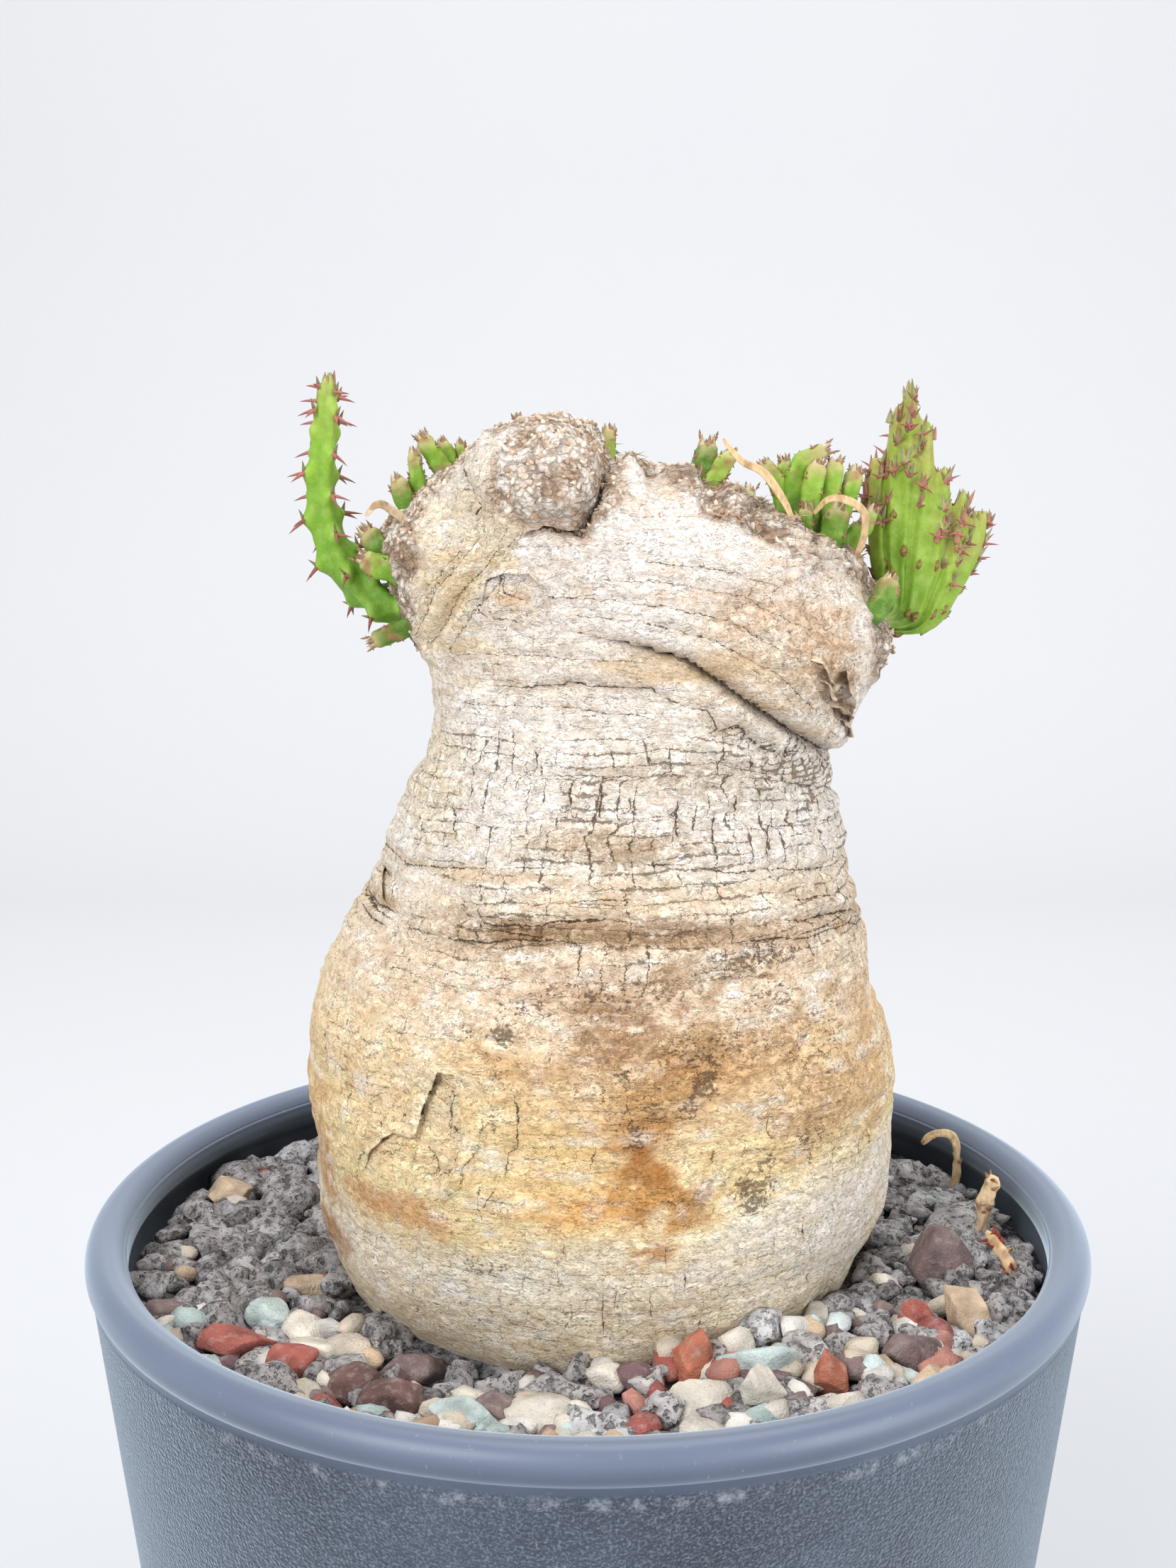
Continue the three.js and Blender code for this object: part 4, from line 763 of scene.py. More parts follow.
# Fibres, layers and crusts from noise, and cracks from the stored waves, laid over the stored colour.
def barkFinish():
    material, tree = newFinish("corkyBark", 0.86, Specular_IOR_Level=0.25)
    place = placeIn(tree)
    bent = warped(place, 0.5)
    threads = stretched(bent, (0.34, 0.34, 1.5))
    fibre = grain(threads, 1, 5, 0.7)
    mottle = grain(place, 0.9, 5, 0.7)
    ragged = (grain(place, 1.7, 4, 0.6) + -0.5) * 1.5
    # Papery layers: level steps of a slow noise; each broken edge has a painted shadow below it
    # and a painted highlight above it.
    layers = grain(stretched(bent, (0.5, 0.5, 1.15)), 0.8, 4, 0.6) * 13
    layerShare = mathOf("FRACT", layers)
    layerPatch = fromTo(grain(place, 0.35, 3), 0.4, 0.6, 0.25, 1)

    def lineAt(wave, width, torn=1.0):  # 1 on the line, 0 past its half width
        away = mathOf("ABSOLUTE", stored(tree, wave) + ragged * torn)
        broken = stored(tree, width) * fromTo(mottle, 0.38, 0.62, 0.2, 1.5)
        return fromTo(away, broken * 0.3, broken + 0.002, 1, 0)

    acrossCrack = lineAt("across", "acrossWidth")
    uprightCrack = lineAt("upright", "uprightWidth")
    fromDrawn = stored(tree, "drawn")
    # Dark lines: the drawn cracks' own dark, and painted shade along the creases, wrinkles and girdles.
    crackAndCreaseShade = lineAt("signed", "drawnWidth", 0.6) * fromTo(fromDrawn, 0.5, 0.9, 1, 0)
    # Painted shade: a soft brown band beside the drawn lines, fading within 1.5 mm of them.
    paintedLineShade = fromTo(fromDrawn, 0, 1.5, 1, 0) * fromTo(stored(tree, "drawnWidth"), 0.02, 0.3, 0, 0.75)
    hair = fromTo(mathOf("ABSOLUTE", fibre + -0.47), 0.004, 0.016, 1, 0) * fromTo(mottle, 0.42, 0.56)
    crusts = grain(threads, 1.5, 4, 0.7) * 0.5 + grain(place, 1.6, 4, 0.7) * 0.5
    speck = fromTo(crusts + stored(tree, "specks") * 0.19, 0.645, 0.70)
    brownShare = fromTo(fibre * 0.5 + mottle * 0.5 + stored(tree, "brown") * 0.16, 0.53, 0.68, 0, 0.85)
    pits = fromTo(cellMiddles(bent, 0.95), 0.45, 0.8) * stored(tree, "crumble")

    def shaded(colour, *factors):  # red, green and blue multiplied
        return mixed(1.0, colour, factors, "MULTIPLY")

    base = shaded(stored(tree, "tone", "Color"), 1.12, 1.12, 1.13)
    pale = shaded(base, 1.26, 1.29, 1.34)
    dark = shaded(base, 0.54, 0.43, 0.33)
    colour = layered(
        base,
        (fromTo(fibre, 0.5, 0.7, 0, 0.66), dark),
        (fromTo(fibre, 0.47, 0.3, 0, 0.7), pale),
        (brownShare, shaded(base, 0.46, 0.36, 0.26)),
        # painted highlight above each layer's broken edge, painted shadow below it
        (fromTo(layerShare, 0.5, 0.98, 0, 0.8) * layerPatch, pale),
        (fromTo(layerShare, 0, 0.24, 0.8, 0) * layerPatch, dark),
        (hair * 0.5, (140, 108, 76)),
        (paintedLineShade, (158, 124, 84)),
        (acrossCrack * 0.7, (138, 110, 80)),
        (uprightCrack * 0.85, (92, 66, 44)),
        (pits * 0.6, (122, 96, 72)),
        (speck * 0.75, (88, 66, 50)),
        (crackAndCreaseShade * 0.9, (84, 60, 40)))
    cracks = mathOf("MAXIMUM", acrossCrack, uprightCrack)
    height = (mottle * 0.6 + fibre * 0.8 + cracks * -0.8 + hair * -0.2 + mathOf("FLOOR", layers) * 0.09
              + crackAndCreaseShade * -1.1 + pits * -0.8 + speck * -0.25)
    return finished(material, colour, height, 0.78)


caudexSkin = makeCaudexSkin()
barkMaterial = barkFinish()
caudexPiece = addPiece("caudexBark", caudexSkin, barkMaterial, ["caudex"])
print("caudex:", len(caudexPiece.data.polygons), "faces")

# Points on the finished bark of the front half, by x and height, for what sits on it.
barkNormals = np.zeros(len(caudexPiece.data.vertices) * 3)
caudexPiece.data.vertices.foreach_get("normal", barkNormals)
onFront = np.flatnonzero(caudexSkin[0][:, 1] < -1)
frontBark = caudexSkin[0][onFront]
frontNormals = barkNormals.reshape(-1, 3)[onFront]
frontTones = caudexSkin[2]["tone"][onFront]


def onBark(x, height):  # the mean of the five nearest bark points, their outward direction and colour
    spot = np.stack([x, height + rimZ], -1)
    apart = ((frontBark[None][..., [0, 2]] - spot[:, None]) ** 2).sum(-1)
    near = np.argsort(apart, axis=1)[:, :5]
    share = 1 / (np.take_along_axis(apart, near, 1) + 0.02)
    share /= share.sum(axis=1, keepdims=True)
    known = (frontBark, frontNormals, frontTones)
    place, out, shade = [(each[near] * share[..., None]).sum(1) for each in known]
    place[:, 0], place[:, 2] = spot[:, 0], spot[:, 1]
    return place, unit(out), shade


# Lifted edges of bark: thin sheets along a torn line, rooted in the bark on one side and standing off on the
# other. Each has its reach from the line, the lift of its edge, its colour, and the line as x and height
# pairs.
liftedEdges = {
    "lowFlake": (2.2, 0.95, (250, 234, 204), flakeEdge),
    "scarTop": (1.2, 0.5, (232, 214, 188), [(-14.4, 95), (-13.6, 98), (-11, 99.3), (-7.6, 99.2), (-5.4, 97)]),
    "scarFoot": (-1, 0.4, (228, 206, 174), [(-14, 94.2), (-12.6, 92.4), (-8.5, 91.9), (-5.6, 95)]),
    "curlUpper": (1.2, 1.4, (244, 226, 200), [(29.6, 87.6), (31.2, 86.2), (32, 84.4), (33.4, 83.2)]),
    "curlMiddle": (1.4, 1.6, (236, 212, 182), [(31.2, 84.6), (32.2, 82.4), (33.6, 81.2)]),
    "curlLower": (1.3, 1.3, (244, 224, 198), [(32.8, 80.8), (34, 79.4), (35.4, 79), (36.6, 77.4)]),
    "curlRight": (1.2, 1.2, (212, 182, 148), [(35.4, 85.4), (35.6, 83), (36.6, 81.4)]),
    "curlFoot": (1, 0.9, (220, 190, 154), [(34.6, 78.4), (36, 76.8), (36.6, 75.2)]),
    "layerTop": (-1.1, 0.9, (214, 196, 170), [(26.8, 104.2), (30, 102.6), (33, 102.1), (36, 101.7)]),
    "layerMiddle": (-1.1, 0.8, (236, 222, 200), [(27, 102.9), (30.4, 101.4), (33.4, 100.9), (36.8, 100.3)]),
    "layerLow": (-1.1, 0.6, (240, 228, 208), [(28, 101.4), (31, 100.1), (34, 99.5), (37, 98.8)]),
    "lumpFringe": (1.4, 0.9, (186, 158, 130), [(-9, 103.6), (-6, 104.9), (-3.6, 104.6), (-1.2, 104.8)]),
    "leftWaist": (-1.4, 0.7, (220, 198, 160), [(-29.6, 55.4), (-29, 53.6), (-28.6, 51.6)]),
}
plainBark = {"across": 1, "acrossWidth": 0, "upright": 1, "uprightWidth": 0, "signed": 9, "drawn": 9,
             "drawnWidth": 0, "specks": 0, "crumble": 0, "brown": 0}  # bark without cracks or crumbs


# The sheet reaches from the line into the bark, ragged by noise; its lift falls off by a power of the way in.
def makeLiftedEdge(reach, lift, colour, line, seed):
    line = np.array(line, float)
    run = runAlong(line)
    rows, columns = int(run[-1] / 0.22) + 8, 9
    at = np.linspace(0, run[-1], rows)
    middle = np.stack([np.interp(at, run, line[:, n]) for n in (0, 1)], -1)
    ahead = unit(np.gradient(middle, axis=0))
    inward = np.stack([-ahead[:, 1], ahead[:, 0]], -1) * np.sign(reach)
    t = np.linspace(0, 1, columns)
    fade = np.clip(np.minimum(at, run[-1] - at) / (0.18 * run[-1]), 0.12, 1)
    ragged = 0.35 * clouds(np.stack([at, 0 * at, 0 * at], -1), 1.3, 3, seed)
    width = abs(reach) * fade * (1 + ragged)
    spot = middle[:, None] + inward[:, None] * (t[None, :, None] * width[:, None, None] - 0.25)
    place, out, shade = onBark(spot[..., 0].ravel(), spot[..., 1].ravel())
    raised = (lift * fade * (1 + 1.2 * ragged))[:, None] * (1 - t) ** 1.6 - 0.2 * t**2
    raised = raised.ravel()[:, None]
    points = np.vstack([place + out * (raised + 0.1), place + out * (raised * 0.96 - 0.12)])
    shade = blend(np.tile(shade, (2, 1)), tone(*colour), 0.5 * np.tile(1 - t, 2 * rows))
    values = {key: np.full(len(points), value) for key, value in plainBark.items()}
    return points, sheetFaces(rows, columns), {"tone": shade, **values}


# A thin pointed cone, bent a little: rings from its foot to its point.
def makeSpike(foot, direction, length, width, bend, shades, flatten=1.0, sides=6):
    direction = unit(direction)
    first = unit(np.cross(direction, [0.17, 0.9, 0.4]))
    second = np.cross(direction, first)
    shares = np.array([0, 0.3, 0.65, 0.95])
    turn = turnsOf(sides)
    ring = np.cos(turn)[:, None] * first + np.sin(turn)[:, None] * second * flatten
    reach = width * (1 - shares) ** 0.8
    middle = foot + shares[:, None] * length * direction + (shares**2)[:, None] * bend
    points = (middle[:, None] + ring[None] * reach[:, None, None]).reshape(-1, 3)
    ends = np.vstack([foot - 0.1 * direction, foot + length * direction + bend])
    mix = np.concatenate([np.repeat(shares, sides), [0, 1]])
    shade = painted(allOver(len(mix), shades[0]), (shades[1], mix))
    return np.vstack([points, ends]), ringFaces(len(shares), sides), {"tone": shade}


def chipShape(place, out, size, turn, rng):  # a bent, ragged flake: a flat cone cut by its own rim
    spread = unit(np.cross(out, [0.3, 0.2, 1.0]))
    other = np.cross(out, spread)
    first = spread * math.cos(turn) + other * math.sin(turn)
    second = other * math.cos(turn) - spread * math.sin(turn)
    angle = turnsOf(6)
    reach = size * rng.uniform(0.6, 1.2, 6)
    rim = ((np.cos(angle) * reach)[:, None] * first + (np.sin(angle) * reach * 0.6)[:, None] * second
           + (0.5 * size * np.cos(angle) ** 2)[:, None] * out)
    points = np.vstack([place + rim, place + rim * 0.8 + out * 0.22, place - out * 0.5, place + out * 0.2])
    return points, ringFaces(2, 6)


# Loose chips and fibres of bark along the crest, in the crumbly places.
chips = {"count": 900, "fibres": 260, "length": (0.5, 1.5), "fibreLength": (0.9, 2.4), "fibreWidth": 0.16,
         "from": 70, "fibresFrom": 99, "seed": 5,
         "tones": [(222, 206, 188), (206, 184, 160), (182, 156, 130), (232, 218, 202)]}


def makeChips():  # flakes and thin spikes at drawn points of the crumbly bark
    bark, _, values = caudexSkin
    rng = np.random.default_rng(chips["seed"])
    loose = np.flatnonzero((values["crumble"] > 0.6) & (bark[:, 2] > rimZ + chips["from"]))
    shapes = []
    centre = np.array([4, 0, rimZ + 96])
    for place in bark[rng.choice(loose, chips["count"], replace=False)]:
        out = unit((place - centre) * [1, 1.3, 1.2] + rng.normal(0, 9, 3))
        size = rng.uniform(*chips["length"]) / 2
        points, faces = chipShape(place, out, size, rng.uniform(0, math.pi), rng)
        shapes.append((points, faces, {"tone": allOver(len(points), chips["tones"][rng.integers(4)])}))
    onCrest = (bark[:, 0] > 2) & (bark[:, 2] > rimZ + chips["fibresFrom"]) & (bark[:, 1] < 3)
    fibrous = np.flatnonzero((values["crumble"] > 0.5) & onCrest)
    for place in bark[rng.choice(fibrous, chips["fibres"], replace=False)]:
        aim = np.array([rng.normal(0.3, 1), rng.normal(-0.1, 0.25), rng.normal(-0.1, 0.35)])
        size = rng.uniform(*chips["fibreLength"])
        shades = ((rng.integers(120, 200), 130, 100), (210, 190, 160))
        bend = rng.normal(0, 0.4, 3)
        shapes.append(makeSpike(place + [0, 0.3, 0], aim, size, chips["fibreWidth"], bend, shades, 1.0, 5))
    return joined(shapes)


# A finish whose stored colour is varied by one grain, which also makes its bumps.
def grainyFinish(name, roughness, specular, stretch, size, detail, ragged, darker, depth):
    material, tree = newFinish(name, roughness, Specular_IOR_Level=specular)
    fibre = grain(placeIn(tree, stretch), size, detail, ragged)
    low, high, share, colour = darker
    colour = layered(stored(tree, "tone", "Color"), (fromTo(fibre, low, high, 0, share), colour))
    return finished(material, colour, fibre, depth)


dryMaterial = grainyFinish(
    "dryFibre", 0.88, 0.2, (1.6, 1.6, 0.5), 1, 4, 0.6, (0.4, 0.7, 0.45, (120, 88, 56)), 0.25)
addPiece("barkChips", makeChips(), dryMaterial)
edges = [makeLiftedEdge(*edge, 300 + 5 * n) for n, edge in enumerate(liftedEdges.values())]
addPiece("barkFlakes", joined(edges), barkMaterial)
print("bark chips:", chips["count"], "flakes:", len(edges))


# Green shoots. Their paths, as x, y and height, are those of the solids that they stand for.
tallShoot = {
    "points": [(-24, -2, 92.2), (-27.4, -2, 92.6), (-30, -2, 93.6), (-33.2, -2, 96), (-36, -2, 99.9),
               (-37.7, -2, 104.8), (-38.2, -2, 109.2), (-37.8, -2, 114), (-37.2, -2, 118.8),
               (-36.6, -2, 125.6)],
    "radius": 2.25, "ribs": 4, "pitch": 6.0, "ribTurn": 0.125, "twist": 0.5, "tip": 0.5, "tooth": 0.62,
    "around": 72, "rings": 200, "spine": 3.1, "spinyFrom": 0.14, "spineWidth": 0.36,
    "lumpy": 0.12, "dryTip": 0.35, "rust": 0.06, "darkFoot": 0,
    "tuft": (9, 2.6, 0.55),  # number of blades, their length and width
}
stubShape = {"ribs": 4, "pitch": 3.6, "ribTurn": 0.125, "twist": 0.2, "tip": 0.8, "tooth": 0.22, "around": 30,
             "rings": 46, "spine": 0.7, "spinyFrom": 0.4, "spineWidth": 0.2,
             "lumpy": 0.34, "dryTip": 0.8, "rust": 0.8, "darkFoot": 0.7, "withered": 0.58}
stubClusters = {  # each stub's path, radius and freshness
    "stubs_right_crest": [
        ([(28.4, -6, 104), (26.6, -6, 110.3), (24.6, -6, 113.2)], 1.35, 0.9),
        ([(29, -5, 104), (28.1, -5, 109.4), (27.6, -5, 113.6)], 1.4, 1),
        ([(30.2, -6.5, 103), (28.9, -6.5, 109.5), (30, -6.5, 113.2), (33.6, -6.5, 115.1)], 1.5, 1),
        ([(31.2, -8, 102), (31, -8, 108), (32, -8, 113.2)], 1.6, 1.1),
        ([(33, -6.5, 102), (33.8, -6.5, 108), (34.7, -6.5, 113.5)], 1.6, 1.1),
        ([(34.4, -5.5, 101), (36.2, -5.5, 107), (37.8, -5.5, 112.3)], 1.5, 0.9),
        ([(31, -10, 101.5), (30.2, -10, 104.5), (30.4, -10.5, 107.2)], 1.2, 0.7),
        ([(33, -9, 100.5), (34.2, -9.5, 104), (35, -10, 107)], 2, 0.7)],
    "stub_right_shoulder": [
        ([(35, -3.5, 97), (37.6, -3.5, 102.6), (39.4, -3.5, 104.2), (40.6, -3.5, 106.6)], 1.45, 0.8)],
    "bud_right_low": [([(37.5, -10.5, 90), (40.8, -10.5, 93.5), (42.4, -10.5, 97.4)], 1.9, 0.6)],
    "buds_mid_crest": [
        ([(15, -8, 105), (16, -8, 111), (16.6, -8, 116)], 2.1, 0.55),
        ([(16, -9.5, 105), (17, -9.5, 109.6), (19.8, -9.5, 114.6)], 1.6, 1.15)],
    "stub_behind_lump": [([(3, 2, 106), (2.8, 2, 114), (3.1, 2, 118)], 1.4, 1.1)],
    "bud_on_lump": [([(-9.5, 2.5, 110), (-10, 3, 117), (-10.3, 3, 119.6)], 1, 0.8)],
    "stubs_left_high": [
        ([(-18, 1, 105), (-21, 1, 112.2), (-24, 1, 117)], 1.6, 0.95),
        ([(-18, 3, 106), (-19.8, 3, 112.4), (-21.2, 3, 116.2)], 1.3, 0.9),
        ([(-17, 4, 108), (-18, 4, 113.4), (-18.6, 4, 116)], 1.1, 0.9)],
    "stubs_left_shoulder": [
        ([(-22, -3, 102), (-25.6, -3, 107), (-27.2, -3, 111)], 1.8, 0.7),
        ([(-21, -1.5, 103), (-24, -1.5, 109), (-24.8, -1.5, 114.8)], 1.3, 0.9)],
    "buds_left_crest": [
        ([(-25, -4, 100), (-29, -4, 101), (-31.8, -4, 103.6)], 2, 0.6),
        ([(-25, -6, 98), (-29.4, -6.5, 98.6), (-32, -7, 100)], 2, 1.05)],
    "bud_left_low": [([(-22, -5, 91), (-26.8, -6, 89.6), (-30.8, -7, 88)], 1.6, 0.6)],
    "stubs_back_left": [
        ([(-14, 12, 103), (-16, 18, 108), (-17.5, 20, 114)], 1.7, 0.9),
        ([(-11, 13, 104), (-12, 18, 109), (-12, 20, 113)], 1.6, 1)],
    "stub_back_mid": [([(-1, 12, 103), (-1, 16, 109), (0, 19, 118)], 1.9, 1)],
    "stubs_back_right": [
        ([(17, 12, 99), (19, 18, 105), (20, 21, 112)], 1.7, 0.9),
        ([(20, 11, 98), (23, 17, 104), (25, 19, 109)], 1.6, 1)],
}
stemTones = {"low": (100, 144, 36), "mid": (120, 164, 42), "high": (140, 180, 46), "knob": (158, 192, 80),
             "tip": (186, 160, 122), "groove": (96, 142, 44), "dark": (58, 92, 34)}
spineTones = {"shield": (148, 108, 76), "fresh": (192, 126, 114), "old": (142, 98, 74),
              "point": (128, 70, 66), "tooth": (128, 128, 88)}
tuftShades = [
    ((176, 178, 128), (146, 130, 104)), ((196, 128, 112), (146, 110, 92)), ((150, 166, 96), (124, 116, 84))]
budShades = [
    ((166, 172, 116), (170, 140, 112)), ((170, 140, 104), (126, 96, 78)), ((196, 190, 150), (196, 178, 146))]


# The ribs stand at the corners at the tip and turn a little towards the foot.
def ribAngle(shoot, k, shares):
    return fullTurn * (k / shoot["ribs"] + shoot["ribTurn"] + shoot["twist"] * (1 - shares) ** 4)


# Height of the teeth on a shoot, 0 to 1: they stand on narrow ribs and alternate from rib to rib.
def knobHeight(shoot, turn, shares, length):
    knobs = 0
    for k in range(shoot["ribs"]):
        onRib = np.clip(np.cos(turn - ribAngle(shoot, k, shares)), 0, 1) ** 7
        wave = 0.5 + 0.5 * np.cos(fullTurn * (shares * length / shoot["pitch"] + (k % 2) / 2))
        knobs = knobs + onRib * (0.22 + 0.78 * wave**2.4)
    return knobs


def stemRadius(shoot, shares):  # the stem narrows towards its tip
    return shoot["radius"] * (1 - (1 - shoot["tip"]) * shares**3)


# A ribbed stem: rings along the path, whose reach is the stem's radius with its teeth, rounded at both ends.
def makeStem(shoot, seed=0, fresh=1.0):
    shares = np.linspace(0.004, 0.996, shoot["rings"])
    turn = turnsOf(shoot["around"])
    middle, ahead, side, over, length = pathThrough(shoot["points"], shares)
    body = stemRadius(shoot, shares) * roundEnd((shares - 0.88) / 0.12) * roundEnd((0.08 - shares) / 0.08)
    knobs = knobHeight(shoot, turn[None, :], shares[:, None], length)
    square = np.cos(4 * (turn[None, :] - ribAngle(shoot, 0, shares[:, None])))
    reach = body[:, None] * (0.92 + 0.05 * square + shoot["tooth"] * knobs)
    outward = side[:, None] * np.cos(turn)[:, None] + over[:, None] * np.sin(turn)[:, None]
    flat = (middle[:, None] + outward * reach[..., None]).reshape(-1, 3)
    outward = outward.reshape(-1, 3)
    flat = flat + outward * (shoot["lumpy"] * clouds(flat, 2.2, 3, seed))[:, None]
    if fresh < stubShape["withered"]:  # a withered bud shrinks into pads
        flat = flat + outward * (0.7 * (0.45 - cellDistance(flat, 1.5, seed)))[:, None]
    points = np.vstack([flat, middle[0] - 0.05 * ahead[0], middle[-1] + 0.05 * ahead[-1]])
    along = np.concatenate([np.repeat(shares, shoot["around"]), [0, 1]])
    knob = np.concatenate([knobs.ravel(), [0, 0]])
    rough = clouds(points, 2.5, 3, seed + 9)
    shade = painted(
        allOver(len(points), stemTones["low"]),
        (stemTones["mid"], ease(0.1, 0.5, along + 0.2 * rough)),
        (stemTones["high"], ease(0.5, 0.95, along + 0.15 * rough)),
        (stemTones["groove"], 0.4 * ease(0.3, 0.0, knob)),
        (stemTones["knob"], 0.55 * ease(0.45, 1.0, knob + 0.2 * rough)),
        (stemTones["dark"], ease(1.0, 0.45, fresh) * 0.8),
        ((186, 200, 96), ease(1.0, 1.3, fresh) * 0.6),
        (stemTones["dark"], ease(0.45, 0.1, along + 0.2 * rough) * shoot["darkFoot"]),
        (stemTones["tip"], ease(0.72, 1.0, along + 0.15 * rough) * shoot["dryTip"]),
        ((152, 108, 78), ease(0.2, 0.6, clouds(points, 1.3, 3, seed + 4)) * shoot["rust"]))
    return points, ringFaces(shoot["rings"], shoot["around"]), {"tone": shade}


# A small oval pad, such as a spine shield: a sphere with three different half sizes.
def makePad(middle, axes, halves, shade, rings=4, sides=7):
    rise = np.linspace(0, math.pi, rings + 2)[1:-1]
    turn = turnsOf(sides)
    ball = np.stack([np.outer(np.sin(rise), np.cos(turn)), np.outer(np.sin(rise), np.sin(turn)),
                     np.outer(-np.cos(rise), np.ones(sides))], -1).reshape(-1, 3)
    ball = np.vstack([ball, [0, 0, -1], [0, 0, 1]])
    points = middle + (ball * halves) @ np.array(axes)
    return points, ringFaces(rings, sides), {"tone": allOver(len(points), shade)}


# One spine group at a foot: a brown shield, forked spines and a small dry tooth above them.
def spineGroup(foot, out, ahead, size, width, fresh, rng, spread=0.6):
    sideways = np.cross(ahead, out)
    dark = np.array(spineTones["fresh"]) * fresh + np.array(spineTones["old"]) * (1 - fresh)
    shield = np.array(spineTones["shield"]) * rng.uniform(0.85, 1.15)
    long = 0.75 + 0.25 * size / 2
    halves = (0.2 * long, 0.3 * long, 0.62 * long)
    shapes = [makePad(foot - out * 0.1, (out, sideways, ahead), halves, shield)]
    for fork in (-1, 1):
        aim = out + sideways * fork * rng.uniform(0.5, 1.1) * spread - ahead * rng.uniform(0.05, 0.5)
        length = size * rng.uniform(0.8, 1.1)
        bend = -ahead * 0.12 * length
        shapes.append(makeSpike(foot - out * 0.15, aim, length, width, bend, (dark, spineTones["point"])))
    aim = ahead + out * rng.uniform(0.15, 0.6)
    tooth = (spineTones["tooth"], (112, 92, 70))
    short, thin = 0.35 * size + 0.4, 0.7 * width + 0.06
    shapes.append(makeSpike(foot + ahead * 0.3, aim, short, thin, out * 0.1, tooth, 0.6))
    return shapes


# Spines of a shoot: one group on each tooth.
def makeSpines(shoot, seed=0):
    rng = np.random.default_rng(seed)
    length = pathThrough(shoot["points"], [0, 1])[-1]
    shapes = []
    for k in range(shoot["ribs"]):
        shares = (np.arange(1, 30) + (k % 2) / 2) * shoot["pitch"] / length
        if shoot["spine"] > 2:  # the teeth crowd together below the tip
            shares = np.append(shares[shares < 0.8], 0.83 + 0.012 * k + np.array([0, 0.06]))
        shares = shares[(shares > shoot["spinyFrom"]) & (shares < 0.98)]
        if not len(shares):
            continue
        for m, a, s, o, share in zip(*pathThrough(shoot["points"], shares)[:4], shares):
            angle = ribAngle(shoot, k, share)
            out = unit(s * math.cos(angle) + o * math.sin(angle) + 0.7 * a * ease(0.84, 0.95, share))
            radius = stemRadius(shoot, share) * (0.95 + shoot["tooth"])
            size = shoot["spine"] * (0.7 + 0.3 * ease(0.1, 0.5, share) - 0.4 * ease(0.86, 0.96, share))
            fresh = ease(0.25, 0.75, share)
            shapes += spineGroup(m + out * radius * 0.97, out, a, size, shoot["spineWidth"], fresh, rng)
    return shapes


# Leaf tuft at a tip: narrow blades round the end of the path.
def makeTuft(place, ahead, side, over, radius, count, length, width, shades, seed=0, spread=0.3):
    rng = np.random.default_rng(seed)
    shapes = []
    for n in range(count):
        turn = fullTurn * (n + 0.4 * rng.random()) / count
        out = side * math.cos(turn) + over * math.sin(turn)
        aim = ahead + out * rng.uniform(-0.1, spread)
        size = length * rng.uniform(0.6, 1)
        foot = place + out * radius - ahead * 0.25 * length
        shapes.append(makeSpike(foot, aim, size, width, -out * 0.2, shades[n % len(shades)], 0.45, 8))
    return shapes


def tuftOn(shoot, *tuft):  # a tuft round a shoot's tip
    middle, ahead, side, over, _ = pathThrough(shoot["points"], [0.97, 1])
    return makeTuft(middle[0], ahead[1], side[1], over[1], shoot["radius"] * shoot["tip"] * 0.5, *tuft)


def shootFinish():  # blotches and pale dots over the stored green
    material, tree = newFinish("greenSkin", 0.5, Specular_IOR_Level=0.3, Subsurface_Weight=0.1,
                               Subsurface_Radius=(0.6, 1.0, 0.3), Subsurface_Scale=0.0012)
    place = placeIn(tree)
    blotch = grain(place, 0.8, 4)
    colour = layered(
        stored(tree, "tone", "Color"),
        (fromTo(blotch, 0.45, 0.7, 0, 0.3), (170, 196, 108)),
        (fromTo(blotch, 0.45, 0.3, 0, 0.25), (90, 134, 44)),
        (fromTo(cellMiddles(place, 3.2), 0.22, 0.1, 0, 0.25), (206, 222, 160)))
    return finished(material, colour, grain(place, 2.2, 3), 0.08)


# The fan: seven fused stems that spread from one foot. Each has its path as x and height pairs and its y; the
# gaps and grooves lie between them. Positions across the fan count its stems, from 0 to the last.
fan = {
    "stems": [
        ([(39, 91.6), (43.4, 92.4), (42.6, 97.8), (42, 104), (41.8, 109), (42.4, 113.8)], 1.2),
        ([(39, 91.3), (43.9, 92.1), (43.6, 99), (43.3, 106.6), (43.3, 113.6), (43.9, 120.6)], 0.6),
        ([(39, 91), (44.6, 91.7), (45.2, 99.4), (45.4, 107.6), (45.7, 116.4), (46.1, 124.4)], -0.2),
        ([(39, 90.7), (45.4, 90.9), (46.9, 97.8), (47.7, 105), (48.2, 112.2), (48.9, 118.4)], -0.8),
        ([(39, 90.3), (46.3, 90.1), (49, 96.4), (50.3, 103), (50.9, 107.8), (51.3, 112.4)], -1),
        ([(39, 89.8), (47.3, 89.4), (51, 95), (52.9, 101.6), (53.7, 105.6), (54.2, 109.2)], -0.4),
        ([(39, 89.2), (48.4, 88.9), (52.4, 93.9), (55.2, 99.4), (56.2, 103.0), (56.3, 106.2)], 1.2)],
    "gaps": [0.14, 0.05, 0.06, 0.1, 0.12, 0.08], "grooves": [0.7, 0.35, 0.6, 0.3, 0.9, 0.3],
    "thick": 2.4, "across": 190, "along": 150, "edge": 0.45, "middle": 3, "last": 6, "tallest": 2,
    "length": 27, "tallestLength": 33, "apart": 7, "crowdedApart": 1.9,  # of the spine groups on a stem
    "spines": (0.5, 0.8), "crowdedSpines": (1.5, 2.9), "tuft": 2.3, "tallestTuft": 2.8,  # lengths
}
fanShares = np.linspace(0, 1, 60)
fanTable = []  # the middle points of each stem, for curves across the stems
for number, (path, y) in enumerate(fan["stems"]):
    points = [(x, y * min(1, n / 2), z) for n, (x, z) in enumerate(path)]
    fanTable.append(np.concatenate([[number], pathThrough(points, fanShares)[0].ravel()]))


